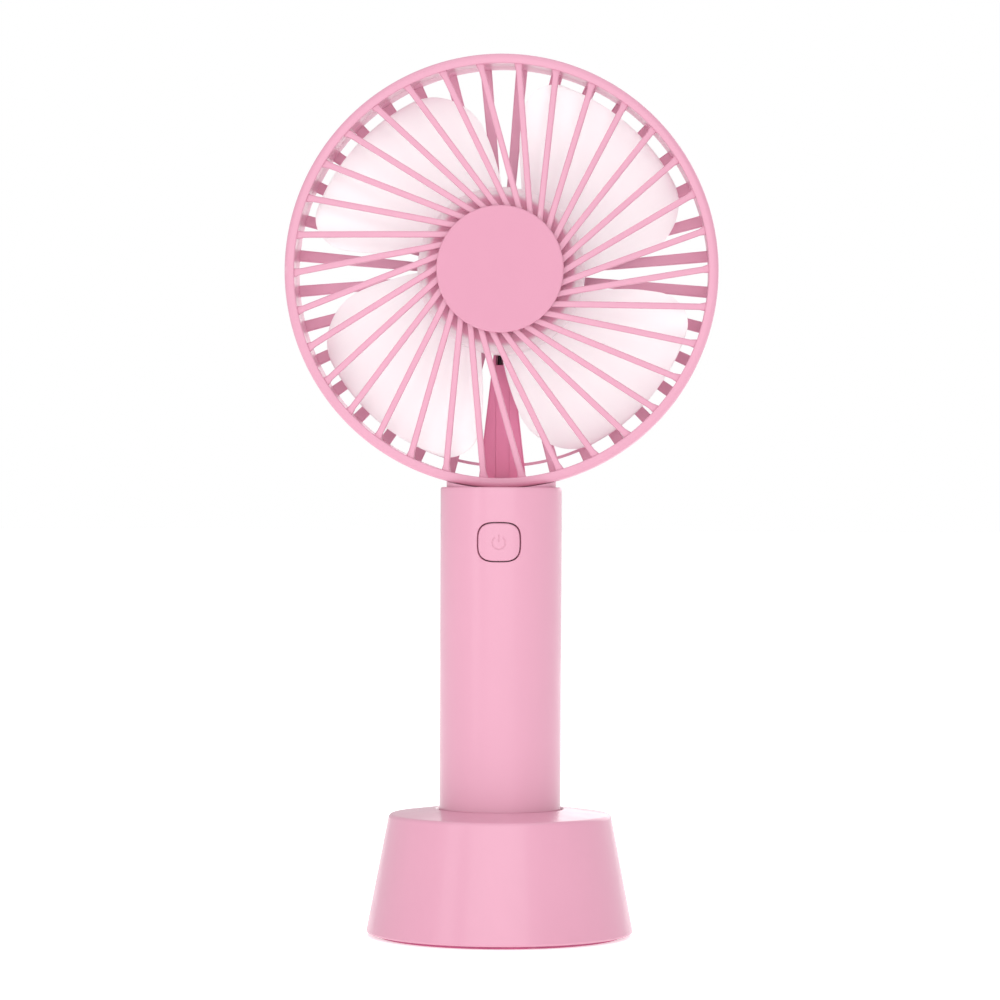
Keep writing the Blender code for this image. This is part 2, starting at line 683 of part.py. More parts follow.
def make_front_grille(head):
    edge = RING_EDGE
    lip = 0.3 * MM
    rim = [
        (RING_BORE, SKIRT_END),
        (RING_BORE, -RING_HALF_DEPTH + lip),
        (RING_BORE + lip, -RING_HALF_DEPTH),
        *arc((RING_RADIUS - edge, -RING_HALF_DEPTH + edge), edge, -90, 0, 4),
        (RING_RADIUS, RING_SEAM_Y),
        (SKIRT_RADIUS, RING_SEAM_Y),
        (SKIRT_RADIUS, SKIRT_END),
    ]
    bm = turned(bmesh.new(), rim, "Y", RING_STEPS)
    hub = rectangle((BADGE_PEG_RADIUS + GAP, GUARD_HUB_FRONT), (GUARD_HUB_RADIUS, GUARD_HUB_BACK))
    turned(bm, hub, "Y", 32)
    grille = piece("front_grille", "pink", bm, head)
    spokes = bmesh.new()
    for number in range(SPOKE_COUNT):
        bar(
            spokes,
            SPOKE_TANGENT_RADIUS,
            SPOKE_REACH,
            (SPOKE_WIDTH, SPOKE_WIDTH),
            spoke_front,
            SPOKE_DEPTH,
            2,
            SPOKE_PHASE + number * 360 / SPOKE_COUNT,
        )
    boolean(grille, "UNION", tool("spokes", spokes, head))
    lugs = bmesh.new()
    low = (SKIRT_RADIUS - 0.6 * MM, SKIRT_END - MM)
    high = (SKIRT_RADIUS + 0.5 * MM, SKIRT_END - 0.2 * MM)
    for number in range(LUG_COUNT):
        turned(lugs, rectangle(low, high), "Y", 2, number * 360 / LUG_COUNT + 45 - LUG_SPAN / 2, LUG_SPAN)
    boolean(grille, "UNION", tool("lugs", lugs, head))


def make_hub_badge(head):
    back = GUARD_HUB_FRONT - GAP
    edge = 0.5 * MM
    peg_end = GUARD_HUB_BACK - 0.4 * MM
    outline = [
        (0, BADGE_FRONT),
        (BADGE_RADIUS - edge, BADGE_FRONT),
        (BADGE_RADIUS, BADGE_FRONT + edge),
        (BADGE_RADIUS, back),
        (BADGE_PEG_RADIUS, back),
        (BADGE_PEG_RADIUS, peg_end),
        (0, peg_end),
    ]
    piece("hub_badge", "pink", turned(bmesh.new(), outline, "Y", 40), head)


def neck_tool():
    """The neck that the handle clamps: a collar with a groove, saddled to fit the ring."""
    roof = 107.2 * MM
    bore = 10.4 * MM
    crown = 111.0 * MM
    groove = NECK_LIP_BORE - GAP
    flange = HANDLE_BORE - GAP
    flange_top = NECK_SEAT - NECK_LIP_HEIGHT - GAP
    flange_foot = flange_top - 1.2 * MM
    outline = [
        (NECK_RADIUS, crown),
        (NECK_RADIUS, NECK_SEAT + GAP),
        (groove, NECK_SEAT + GAP),
        (groove, flange_top),
        (flange, flange_top),
        (flange, flange_foot),
        (bore, flange_foot),
        (bore, roof),
        (0, roof),
        (0, crown),
    ]
    neck = tool("neck", turned(bmesh.new(), outline, "Z", 48))
    front = rod(bmesh.new(), RING_RADIUS + GAP, "Y", -20 * MM, RING_SEAM_Y + GAP, (0, HEAD_Z), 192)
    rear = rod(bmesh.new(), RING_RADIUS - 1.2 * MM, "Y", -19 * MM, 20 * MM, (0, HEAD_Z), 192)
    boolean(neck, "DIFFERENCE", tool("saddle_front", front), tool("saddle_rear", rear))
    return neck


def strut_tool(head):
    """The solid web below the hub that carries the wires down to the neck."""
    near = REAR_HUB_RADIUS - 1.1 * MM
    far = RING_RADIUS - 0.6 * MM
    spread = sin(radians(STRUT_HALF_ANGLE))
    corners = ((near, 1), (far, 1), (far, -1), (near, -1))
    outline = [(reach * spread * side, -reach) for reach, side in corners]
    return tool("strut", prism(bmesh.new(), outline, "Y", STRUT_FRONT, STRUT_BACK), head)


def rear_cutters(head):
    """Wire channel, bayonet pockets, peg holes and the motor plate's holes."""
    wide = CHANNEL_HALF_WIDTH
    channel = box(bmesh.new(), (-wide, wide), (5 * MM, CHANNEL_BACK), (-55 * MM, -17.2 * MM))
    passage = box(bmesh.new(), (-wide, wide), (6 * MM, 11 * MM), (-18.3 * MM, -14.8 * MM))
    plate_back = MOTOR_FRONT - GAP
    span = (plate_back - MOTOR_PLATE - MM, plate_back + MM)
    holes = rod(bmesh.new(), MOTOR_BOSS_RADIUS + GAP, "Y", *span)
    for x in (-MOTOR_SCREW_X, MOTOR_SCREW_X):
        rod(holes, SCREW_HOLE, "Y", *span, (x, 0), 12)
    for spot in peg_spots():
        rod(holes, PEG_RADIUS + GAP, "Y", REAR_HUB_FRONT + 0.9 * MM, REAR_HUB_BACK + MM, spot, 12)
    pockets = bmesh.new()
    slack = 0.8
    outline = rectangle((SKIRT_RADIUS, RING_SEAM_Y + 0.7 * MM), (SKIRT_RADIUS + 0.75 * MM, SKIRT_END + GAP))
    for number in range(LUG_COUNT):
        start = number * 360 / LUG_COUNT + 45 - LUG_SPAN / 2 - slack
        turned(pockets, outline, "Y", 4, start - TWIST, LUG_SPAN + 2 * slack + TWIST)
    return (
        tool("wire_channel", channel, head),
        tool("wire_passage", passage, head),
        tool("plate_holes", holes, head),
        tool("lug_pockets", pockets, head),
    )


def peg_spots():
    turns = [radians(angle) for angle in (0, 120, 240)]
    return [(PEG_CIRCLE * sin(a), PEG_CIRCLE * cos(a)) for a in turns]


def make_rear_grille(head):
    edge = RING_EDGE
    start = RING_SEAM_Y + GAP
    rebate = SKIRT_RADIUS + GAP
    rim = [
        (rebate, start),
        (RING_RADIUS, start),
        *arc((RING_RADIUS - edge, RING_HALF_DEPTH - edge), edge, 0, 90, 3),
        (RING_BORE, RING_HALF_DEPTH),
        (RING_BORE, SKIRT_END + GAP),
        (rebate, SKIRT_END + GAP),
    ]
    bm = turned(bmesh.new(), rim, "Y", RING_STEPS)
    bore = MOTOR_RADIUS + GAP
    wall = bore + 1.5 * MM
    plate = MOTOR_FRONT - GAP
    chamfer = 0.6 * MM
    hub = [
        (0, plate - MOTOR_PLATE),
        (wall - chamfer, plate - MOTOR_PLATE),
        (wall, plate - MOTOR_PLATE + chamfer),
        (wall, REAR_HUB_FRONT),
        (REAR_HUB_RADIUS - chamfer, REAR_HUB_FRONT),
        (REAR_HUB_RADIUS, REAR_HUB_FRONT + chamfer),
        (REAR_HUB_RADIUS, REAR_HUB_BACK),
        (bore, REAR_HUB_BACK),
        (bore, plate),
        (0, plate),
    ]
    turned(bm, hub, "Y", 40)
    low = ARC_RIB_RADIUS - ARC_RIB_WIDTH / 2
    outline = rectangle((low, 6.4 * MM), (low + ARC_RIB_WIDTH, 7.7 * MM))
    turned(bm, outline, "Y", 10, 180 - ARC_RIB_SPAN / 2, ARC_RIB_SPAN)
    grille = piece("rear_grille", "pink", bm, head)
    ribs = bmesh.new()
    for number in range(RIB_COUNT):
        turn = RIB_PHASE + number * 360 / RIB_COUNT
        if abs(turn - 180) < STRUT_HALF_ANGLE:
            continue
        bar(ribs, 0, RIB_REACH, RIB_WIDTHS, rib_front, RIB_DEPTH, 1, turn)
    boolean(grille, "UNION", tool("ribs", ribs, head), strut_tool(head), neck_tool())
    boolean(grille, "DIFFERENCE", *rear_cutters(head))


def dome(radius, foot, rise, steps=4):
    """Outline of a flat-topped dome, from its crown out to its rim."""
    spots = [radius * sin(pi / 2 * i / steps) for i in range(steps + 1)]
    return [(spot, foot + rise * sqrt(1 - (spot / radius) ** 4)) for spot in spots]


def make_motor_cover(head):
    """Shallow round dome over the back of the motor, with vents and three pegs."""
    outline = dome(COVER_RADIUS, COVER_FRONT + 0.6 * MM, COVER_RISE)
    outline.append((COVER_RADIUS, COVER_FRONT))
    outline += reversed(dome(COVER_RADIUS - COVER_WALL, COVER_FRONT, COVER_INNER_RISE))
    cover = piece("motor_cover", "pink", turned(bmesh.new(), outline, "Y", 32), head)
    pegs = bmesh.new()
    for spot in peg_spots():
        peg_top = COVER_FRONT + COVER_INNER_RISE - 0.1 * MM
        rod(pegs, PEG_RADIUS, "Y", REAR_HUB_FRONT + COVER_WALL, peg_top, spot, 12)
    boolean(cover, "UNION", tool("cover_pegs", pegs, head))
    for number in range(VENT_COUNT):
        vent = prism(bmesh.new(), rounded(0.8 * MM, 3 * MM, (0, VENT_CIRCLE), 4, 12), "Y", 9 * MM, 16 * MM)
        swung(vent, vent.verts, 30 + number * 360 / VENT_COUNT)
        boolean(cover, "DIFFERENCE", tool(f"cover_vent_{number}", vent, head))


def make_wires(head):
    strip = box(bmesh.new(), (-1.4 * MM, 1.4 * MM), (6.3 * MM, 7.0 * MM), (-49.8 * MM, -18.6 * MM))
    piece("wire_cover", "pink", strip, head)
    for name, kind, side in (("motor_wire_red", "red", 1), ("motor_wire_black", "black", -1)):
        route = [
            (2.6 * side, 10.65, -6.5),
            (1.4 * side, 10.65, -12.0),
            (0.8 * side, 10.6, -15.0),
            (0.8 * side, 9.6, -16.6),
            (0.8 * side, 8.1, -17.4),
            (0.8 * side, 7.75, -19.0),
            (0.8 * side, 7.75, -35.0),
            (0.8 * side, 7.75, -51.0),
            (0.8 * side, 7.2, -55.5),
            (1.2 * side, 5.0, -58.5),
            (2.0 * side, 0.5, -60.3),
            (2.2 * side, -4.9, -60.9),
        ]
        points = [Vector(point) * MM for point in route]
        tube(name, kind, points, 0.42 * MM, head)


# ---------------------------------------------------------------- motor and rotor


def make_motor_case(head):
    wall = 0.8 * MM
    boss = MOTOR_BOSS_RADIUS
    bush_seat = 2.5 * MM
    boss_front = MOTOR_FRONT - 1.8 * MM
    can = [
        (bush_seat, boss_front),
        (boss, boss_front),
        (boss, MOTOR_FRONT),
        (MOTOR_RADIUS - 0.5 * MM, MOTOR_FRONT),
        (MOTOR_RADIUS, MOTOR_FRONT + 0.5 * MM),
        (MOTOR_RADIUS, MOTOR_BACK),
        (MOTOR_RADIUS - wall, MOTOR_BACK),
        (MOTOR_RADIUS - wall, MOTOR_FRONT + wall),
        (bush_seat, MOTOR_FRONT + wall),
    ]
    case = piece("motor_can", "steel", turned(bmesh.new(), can, "Y", 24), head)
    holes = bmesh.new()
    for x in (-MOTOR_SCREW_X, MOTOR_SCREW_X):
        rod(holes, SCREW_HOLE, "Y", MOTOR_FRONT - MM, MOTOR_FRONT + 2 * wall, (x, 0), 12)
    boolean(case, "DIFFERENCE", tool("can_screw_holes", holes, head))
    fit = MOTOR_RADIUS - wall - GAP
    lid_front = MOTOR_BACK - 1.5 * MM
    lid_back = MOTOR_BACK + 1.2 * MM
    lid = [
        (bush_seat, lid_front),
        (fit, lid_front),
        (fit, MOTOR_BACK),
        (boss + 0.2 * MM, MOTOR_BACK),
        (boss + 0.2 * MM, lid_back),
        (bush_seat, lid_back),
    ]
    piece("motor_end_cap", "black", turned(bmesh.new(), lid, "Y", 24), head)
    spans = (
        ("motor_bush_front", MOTOR_FRONT - 1.7 * MM, MOTOR_FRONT + 0.6 * MM),
        ("motor_bush_rear", MOTOR_BACK - 1.2 * MM, MOTOR_BACK + MM),
    )
    for name, low, high in spans:
        outline = rectangle((SHAFT_RADIUS + RUNNING_FIT, low), (bush_seat - GAP, high))
        piece(name, "brass", turned(bmesh.new(), outline, "Y", 16), head)
    for side, start in (("right", 30), ("left", 210)):
        outline = rectangle((9.0 * MM, -0.8 * MM), (fit, 7.6 * MM))
        piece(f"motor_magnet_{side}", "magnet", turned(bmesh.new(), outline, "Y", 12, start, 120), head)
        x = MOTOR_SCREW_X if side == "right" else -MOTOR_SCREW_X
        seat = (x, MOTOR_FRONT - MOTOR_PLATE - 2 * GAP, 0)
        screw(f"motor_screw_{side}", seat, (0, -1, 0), 3.0 * MM, head)


def make_motor_core(head):
    piece("motor_shaft", "steel", rod(bmesh.new(), SHAFT_RADIUS, "Y", -9.1 * MM, 10.9 * MM), head)
    bore = SHAFT_RADIUS + GAP
    outline = rectangle((bore, 0.2 * MM), (8.4 * MM, 6.4 * MM))
    armature = piece("motor_armature", "copper", turned(bmesh.new(), outline, "Y", 30), head)
    for number in range(3):
        slot = box(bmesh.new(), (-0.8 * MM, 0.8 * MM), (-MM, 8 * MM), (4.5 * MM, 10 * MM))
        swung(slot, slot.verts, 60 + 120 * number)
        boolean(armature, "DIFFERENCE", tool(f"armature_slot_{number}", slot, head))
    outline = rectangle((bore, 6.7 * MM), (3.0 * MM, 8.0 * MM))
    piece("motor_commutator", "copper", turned(bmesh.new(), outline, "Y", 18), head)


def corner_turn(radius, corner):
    """Degrees that a rounded blade corner draws its edge in by, at a radius."""
    start = BLADE_TIP_RADIUS - corner
    if radius <= start:
        return 0.0
    share = min(1.0, (radius - start) / corner)
    return corner / radius / pi * 180 * (1 - sqrt(1 - share * share))


def blade_edges(radius):
    """Angles of a blade's trailing and leading edges, clockwise from the gap before it."""
    flare = max(0.0, (35 * MM - radius) / (15 * MM))
    trailing = 7.5 + 6.5 * flare * flare + corner_turn(radius, 9 * MM)
    leading = 90 - BLADE_SWEEP * (radius - 20 * MM) - corner_turn(radius, 12 * MM)
    return trailing, leading


def blade_radius(share):
    """Radius at a share of the span, with rows drawn together towards the tip."""
    return BLADE_ROOT_RADIUS + (BLADE_TIP_RADIUS - BLADE_ROOT_RADIUS) * sin(pi / 2 * share)


def blade_front(radius, across):
    """Height along Y of a blade's front skin: the leading edge lies furthest back."""
    share = (radius - BLADE_ROOT_RADIUS) / (BLADE_TIP_RADIUS - BLADE_ROOT_RADIUS)
    middle = (-3.3 + 2.2 * share) * MM
    pitch = (7.0 + 1.0 * share) * MM
    camber = BLADE_CAMBER * sin(pi * across)
    return middle + pitch * (across - 0.5) + camber


def add_blade(bm, turn):
    grid = bmesh.ops.create_grid(bm, x_segments=6, y_segments=7, size=0.5)["verts"]
    for vert in grid:
        share = vert.co.x + 0.5
        radius = blade_radius(vert.co.y + 0.5)
        trailing, leading = blade_edges(radius)
        angle = radians(turn + trailing + (leading - trailing) * share)
        vert.co = Vector((radius * sin(angle), blade_front(radius, share), radius * cos(angle)))
    thickened(bm, grid, BLADE_THICKNESS)


def make_rotor(head):
    shoulder = 2.2 * MM
    inside = ROTOR_HUB_RADIUS - ROTOR_WALL
    front_wall = ROTOR_FRONT + ROTOR_WALL
    boss = 3.2 * MM
    boss_back = -5.0 * MM
    bore = SHAFT_RADIUS + 0.1 * MM
    bore_end = ROTOR_FRONT + 0.9 * MM
    outline = [
        (0, ROTOR_FRONT),
        *arc((ROTOR_HUB_RADIUS - shoulder, ROTOR_FRONT + shoulder), shoulder, -90, 0, 3),
        (ROTOR_HUB_RADIUS, ROTOR_BACK),
        (inside, ROTOR_BACK),
        (inside, front_wall + MM),
        (inside - MM, front_wall),
        (boss, front_wall),
        (boss, boss_back),
        (bore, boss_back),
        (bore, bore_end),
        (0, bore_end),
    ]
    rotor = piece("fan_rotor", "milky", turned(bmesh.new(), outline, "Y", 40), head)
    blades = bmesh.new()
    for number in range(BLADE_COUNT):
        add_blade(blades, number * 360 / BLADE_COUNT)
    boolean(rotor, "UNION", tool("blades", blades, head))


def main():
    clear_scene()
    head = empty("head_axis", (0, 0, HEAD_Z))
    make_stand_shell()
    make_stand_base()
    make_handle_front()
    make_handle_rear()
    make_bottom_cap()
    make_battery()
    make_battery_spring()
    make_button()
    make_control_board()
    make_charge_board()
    make_front_grille(head)
    make_hub_badge(head)
    make_rear_grille(head)
    make_motor_cover(head)
    make_wires(head)
    make_motor_case(head)
    make_motor_core(head)
    make_rotor(head)


main()
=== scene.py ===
"""Handheld electric fan on its desk stand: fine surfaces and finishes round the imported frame.

Metres, +Z up, the fan faces -Y. The stand and the handle are turned about Z. The head is
turned about an axis along Y: its shapes are made round the origin and then lifted to HEAD_Z.
Angles round the head are in degrees, clockwise from straight up as seen from the front.
"""

from math import asin, ceil, cos, degrees, pi, radians, sin, sqrt

import bmesh
import bpy
from bpy.props import FloatProperty, FloatVectorProperty, IntProperty, PointerProperty
from mathutils import Matrix, Vector


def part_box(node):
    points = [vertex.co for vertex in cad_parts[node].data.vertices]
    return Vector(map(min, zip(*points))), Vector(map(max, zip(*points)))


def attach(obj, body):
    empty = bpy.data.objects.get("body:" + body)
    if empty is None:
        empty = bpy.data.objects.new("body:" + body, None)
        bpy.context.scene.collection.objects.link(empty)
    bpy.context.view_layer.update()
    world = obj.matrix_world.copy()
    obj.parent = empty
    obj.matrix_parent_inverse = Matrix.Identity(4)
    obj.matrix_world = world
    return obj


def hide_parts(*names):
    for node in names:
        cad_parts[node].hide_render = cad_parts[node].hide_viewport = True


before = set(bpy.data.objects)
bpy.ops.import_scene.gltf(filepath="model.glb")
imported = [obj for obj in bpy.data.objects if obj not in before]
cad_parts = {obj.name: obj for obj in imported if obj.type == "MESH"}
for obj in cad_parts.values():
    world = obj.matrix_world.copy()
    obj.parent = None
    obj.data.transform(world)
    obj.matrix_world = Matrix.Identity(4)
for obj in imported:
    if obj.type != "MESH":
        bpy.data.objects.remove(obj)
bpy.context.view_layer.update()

bl_info = {
    "name": "Desk Fan Maker",
    "version": (1, 0, 0),
    "blender": (4, 5, 0),
    "location": "3D View > Sidebar > Fan",
    "description": "Builds a handheld fan, its desk stand and its finishes",
    "category": "Add Mesh",
}

MM = 0.001
GAP = 0.3 * MM  # between pieces that meet
HAIR = 1e-6  # less than this is no distance
ORIGIN = (0.0, 0.0, 0.0)


def middle(node):
    low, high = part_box(node)
    return (low + high) / 2


HEAD_Z = middle("hub_badge").z
BUTTON_Z = middle("power_button").z
PORT_Z = middle("usb_socket").z
HANDLE_SCREWS = ("handle_screw_left", "handle_screw_right")
STAND_LOW, STAND_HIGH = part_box("stand_shell")
PAD_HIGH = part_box("stand_foot_pad")[1]
SHELL_LOW, SHELL_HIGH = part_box("handle_front_shell")
CAP_LOW, CAP_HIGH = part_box("bottom_cap")
BADGE_LOW, BADGE_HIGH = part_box("hub_badge")
DOME_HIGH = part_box("motor_cover")[1]
RING_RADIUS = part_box("front_grille")[1].x
HANDLE_RADIUS = -SHELL_LOW.y

# Where the shapes meet inside, as the frame has them
STAND_CROWN = 1.3 * MM
STAND_RIM = STAND_HIGH.z - STAND_CROWN
SOCKET_FLOOR = 8.0 * MM
SOCKET_WALL = 1.8 * MM
STAND_WALL = 2.0 * MM
HANDLE_BORE = 13.1 * MM
NECK_SEAT = 105.0 * MM
NECK_SEAT_BORE = 13.6 * MM
NECK_LIP_BORE = 12.2 * MM
NECK_LIP_FOOT = NECK_SEAT - 2 * MM
RING_BORE = 50.1 * MM
RING_SEAM_Y = -3.4 * MM
SEAM_EDGE = 0.2 * MM
SKIRT_RADIUS = 51.2 * MM
SKIRT_END = -1.4 * MM
GUARD_HUB_FRONT = -14.3 * MM
GUARD_HUB_BACK = -11.7 * MM
REAR_HUB_RADIUS = 19.6 * MM
REAR_HUB_FRONT = 7.0 * MM
REAR_HUB_BACK = 9.9 * MM
MOTOR_BORE = 12.5 * MM
MOTOR_PLATE_Y = -2.8 * MM
STRUT_FRONT = 6.2 * MM
STRUT_BACK = 9.6 * MM
STRUT_HALF_ANGLE = 6.6
CHANNEL_HALF_WIDTH = 1.7 * MM
CHANNEL_BACK = 8.3 * MM
ROTOR_HUB_RADIUS = 20.2 * MM
ROTOR_HUB_FRONT = -10.2 * MM
ROTOR_HUB_BACK = 1.6 * MM
BLADE_ROOT_RADIUS = 19.5 * MM
BADGE_PEG_RADIUS = 2.0 * MM
LUG_RADIUS = 51.7 * MM
LUG_SPAN = 6.0
LUG_COUNT = 4
TWIST = 8.0


# ---------------------------------------------------------------- settings


def length(name, description, default):
    return FloatProperty(
        name=name, description=description, default=default, min=0.0, unit="LENGTH", subtype="DISTANCE"
    )


def colour(name, description, default):
    return FloatVectorProperty(
        name=name, description=description, default=default, min=0.0, max=1.0, size=3, subtype="COLOR"
    )


class FanStandSettings(bpy.types.PropertyGroup):
    """Sizes of the desk stand"""

    height: length("Height", "Height of the rim of the stand's top face", STAND_RIM)
    crown: length("Crown", "Rise of the top face from its rim to the socket's mouth", STAND_CROWN)
    foot_radius: length("Foot radius", "Radius of the wall, carried down to the table", 32.5 * MM)
    top_radius: length("Top radius", "Radius of the wall, carried up to the top face", 27.15 * MM)
    shoulder: length("Shoulder", "Rounding between the wall and the top face", 1.1 * MM)
    mouth: length("Mouth", "Rounding of the socket's mouth", 0.7 * MM)
    groove_count: IntProperty(name="Grooves", description="Grip grooves under the pad", default=5, min=0)


class FanHandleSettings(bpy.types.PropertyGroup):
    """Sizes of the handle, its button and its charging port"""

    radius: length("Radius", "Outer radius of the handle", HANDLE_RADIUS)
    edge: length("Edge", "Rounding of seams and windows", 0.22 * MM)
    top_edge: length("Top edge", "Rounding of the handle's top edge", 0.45 * MM)
    button_half_width: length("Button half width", "Half the button's width round the handle", 5.2 * MM)
    button_half_height: length("Button half height", "Half the button's height", 4.55 * MM)
    button_gap: length("Button gap", "Clear width round the button", 0.27 * MM)
    button_proud: length("Button proud", "How far the button stands out of the handle", 0.25 * MM)


class FanGuardSettings(bpy.types.PropertyGroup):
    """Sizes of the front guard and the rear cage"""

    ring_radius: length("Ring radius", "Outer radius of the ring", RING_RADIUS)
    ring_half_depth: length("Ring half depth", "Half the depth of the closed ring", 8.0 * MM)
    ring_edge: length("Ring edge", "Rounding of the ring's outer edge", 1.4 * MM)
    spoke_count: IntProperty(name="Spokes", description="Spokes of the front guard", default=34, min=3)
    spoke_width: length("Spoke width", "Width of a spoke", 1.5 * MM)
    spoke_edge: length("Spoke edge", "Rounding along a spoke's front", 0.42 * MM)
    spoke_offset: length("Spoke offset", "Distance at which each spoke's line passes the centre", 8.2 * MM)
    rib_count: IntProperty(name="Ribs", description="Places for ribs round the cage", default=36, min=3)
    badge_radius: length("Badge radius", "Radius of the plain disc on the hub", BADGE_HIGH.x)


class FanRotorSettings(bpy.types.PropertyGroup):
    """Sizes of the blades"""

    blade_count: IntProperty(name="Blades", description="Number of blades", default=4, min=2)
    tip_radius: length("Tip radius", "Radius of the blade tips", 47.2 * MM)
    thickness: length("Thickness", "Thickness of a blade along the axis", 1.1 * MM)
    edge: length("Edge", "Rounding of a blade's rim", 0.38 * MM)


class FanFinishSettings(bpy.types.PropertyGroup):
    """Colours of the fan"""

    pink: colour("Pink", "Moulded pink plastic", (0.66, 0.312, 0.422))
    # Painted light: the cage is the same pink plastic as the shell, given a lighter pink here to make up
    # for the shade it sits in behind the guard.
    cage_pink_lightened: colour("Deep pink", "Pink plastic of the rear cage", (0.75, 0.37, 0.5))
    # Painted shade: the strut is the cage's own pink plastic; this deeper pink stands for the shade it lies
    # in.
    strut: colour("Strut", "The cage's pink where the plastic is thick", (0.78, 0.24, 0.41))
    badge: colour("Badge", "Satin face of the hub disc", (0.62, 0.27, 0.38))
    milky: colour("Milky", "Milky plastic of the blades", (0.99, 0.985, 0.985))
    # Painted shade: pink painted on the milky rotor close round its hub, standing for the pink-tinted shade
    # and bounced light behind the pink disc.
    core: colour("Core", "Pink of the rotor's hub, seen past the disc", (0.93, 0.42, 0.60))
    rubber: colour("Rubber", "Soft foot pad", (0.60, 0.14, 0.28))
    steel: colour("Steel", "Plated steel", (0.58, 0.58, 0.59))
    floor: colour("Floor", "Studio floor", (0.93, 0.93, 0.93))


# ---------------------------------------------------------------- shapes


def arc(centre, radius, start, end, steps, rise=None):
    """Points of an arc in degrees, anticlockwise from the first axis. A rise makes it an ellipse's."""
    rise = rise or radius
    turns = [radians(start + (end - start) * i / steps) for i in range(steps + 1)]
    return [(centre[0] + radius * cos(a), centre[1] + rise * sin(a)) for a in turns]


def circle(radius, centre=(0.0, 0.0), steps=64):
    return arc(centre, radius, 0, 360, steps)[:-1]


def rounded(half_width, half_height, centre=(0.0, 0.0), power=3.2, steps=72):
    """A superellipse: a rectangle with full, soft corners."""
    points = []
    for i in range(steps):
        c = cos(2 * pi * i / steps)
        s = sin(2 * pi * i / steps)
        x = half_width * abs(c) ** (2 / power) * (1 if c >= 0 else -1)
        y = half_height * abs(s) ** (2 / power) * (1 if s >= 0 else -1)
        points.append((centre[0] + x, centre[1] + y))
    return points


def rectangle(low, high):
    return [low, (high[0], low[1]), high, (low[0], high[1])]


def turned(outline, axis="Z", steps=160, start=0.0, sweep=360.0, bm=None):
    """A solid swung round an axis from an outline of (radius, height) points."""
    bm = bm or bmesh.new()
    if axis == "Z":
        spots = [Vector((r, 0, h)) for r, h in outline]
        direction = Vector((0, 0, 1))
    else:
        spots = [Vector((0, h, r)) for r, h in outline]
        direction = Vector((0, 1, 0))
    swing = Matrix.Rotation(radians(start), 4, direction)
    verts = [bm.verts.new(swing @ spot) for spot in spots]
    whole = sweep == 360.0
    if whole:
        pairs = zip(range(len(verts)), [*range(1, len(verts)), 0])
        edges = [bm.edges.new((verts[a], verts[b])) for a, b in pairs if outline[a][0] or outline[b][0]]
        geometry = verts + edges
    else:
        geometry = [bm.faces.new(verts)]
    swept = {"axis": direction, "angle": radians(sweep), "steps": steps}
    bmesh.ops.spin(bm, geom=geometry, cent=ORIGIN, use_merge=whole, **swept)
    bmesh.ops.remove_doubles(bm, verts=bm.verts, dist=1e-7)
    return bm


def raised(bm, faces, travel):
    """Extrudes faces along a vector and returns the verts that moved."""
    carried = bmesh.ops.extrude_face_region(bm, geom=faces)["geom"]
    moved = [item for item in carried if isinstance(item, bmesh.types.BMVert)]
    bmesh.ops.translate(bm, verts=moved, vec=travel)
    return moved


def prism(outline, axis, low, high, bm=None):
    """A straight solid: an outline carried along an axis from low to high."""
    bm = bm or bmesh.new()
    to_space = {
        "X": lambda u, v, w: (w, u, v),
        "Y": lambda u, v, w: (u, w, v),
        "Z": lambda u, v, w: (u, v, w),
    }[axis]
    face = bm.faces.new([bm.verts.new(to_space(u, v, low)) for u, v in outline])
    raised(bm, [face], Vector(to_space(0, 0, high - low)))
    return bm


def box(xs, ys, zs, bm=None):
    return prism(rectangle((xs[0], ys[0]), (xs[1], ys[1])), "Z", zs[0], zs[1], bm)


def corners(bm, chosen=lambda edge: True, least=34):
    """Edges whose faces meet at more than least degrees and that pass a test."""
    return [
        edge
        for edge in bm.edges
        if len(edge.link_faces) == 2 and edge.calc_face_angle() > radians(least) and chosen(edge)
    ]


def soften(bm, edges, width, segments=3):
    bmesh.ops.recalc_face_normals(bm, faces=bm.faces)
    bmesh.ops.bevel(
        bm,
        geom=edges,
        offset=width,
        offset_type="OFFSET",
        affect="EDGES",
        segments=segments,
        profile=0.5,
        material=-1,
        clamp_overlap=True,
    )


def repeated(bm, turns):
    """Leaves a copy of the whole mesh at each turn round the head's axis."""
    master = bm.verts[:] + bm.edges[:] + bm.faces[:]
    sets = [bm.verts[:]]
    for _ in turns[1:]:
        made = bmesh.ops.duplicate(bm, geom=master)["geom"]
        sets.append([item for item in made if isinstance(item, bmesh.types.BMVert)])
    for verts, turn in zip(sets, turns):
        swing = Matrix.Rotation(radians(turn), 3, "Y")
        bmesh.ops.rotate(bm, verts=verts, cent=ORIGIN, matrix=swing)


def rise_of(edge):
    """How far apart in Z the ends of an edge are."""
    return abs(edge.verts[0].co.z - edge.verts[1].co.z)


def bars(turns, offset, reach, widths, front, depth, edge, flare=0.0, cuts=16):
    """Flat bars with soft edges that run outwards beside +Z, one for each turn.

    They start and end at the two radii of reach and follow front(radius). They go from the first
    of widths to the second, and widen by flare where they meet the ring.
    """
    flare_length = 2.2 * MM
    near, far = reach
    bm = bmesh.new()
    grid = bmesh.ops.create_grid(bm, x_segments=1, y_segments=cuts, size=0.5)["verts"]
    for vert in grid:
        vert.co = Vector((vert.co.x * widths[0], 0, vert.co.y))
    raised(bm, bm.faces[:], (0, depth, 0))
    side = widths[0] / 2 - HAIR
    run = corners(bm, lambda e: all(abs(v.co.x) > side for v in e.verts) and rise_of(e) > HAIR)
    soften(bm, run, edge)
    for vert in bm.verts:
        along = vert.co.z + 0.5
        out = near + (far - near) * along
        spread = max(0.0, 1 - (far - out) / flare_length) ** 2
        wide = 1 + (widths[1] / widths[0] - 1) * along + flare * spread
        x = offset + vert.co.x * wide
        vert.co = Vector((x, vert.co.y + front(sqrt(x * x + out * out)), out))
    repeated(bm, turns)
    return bm


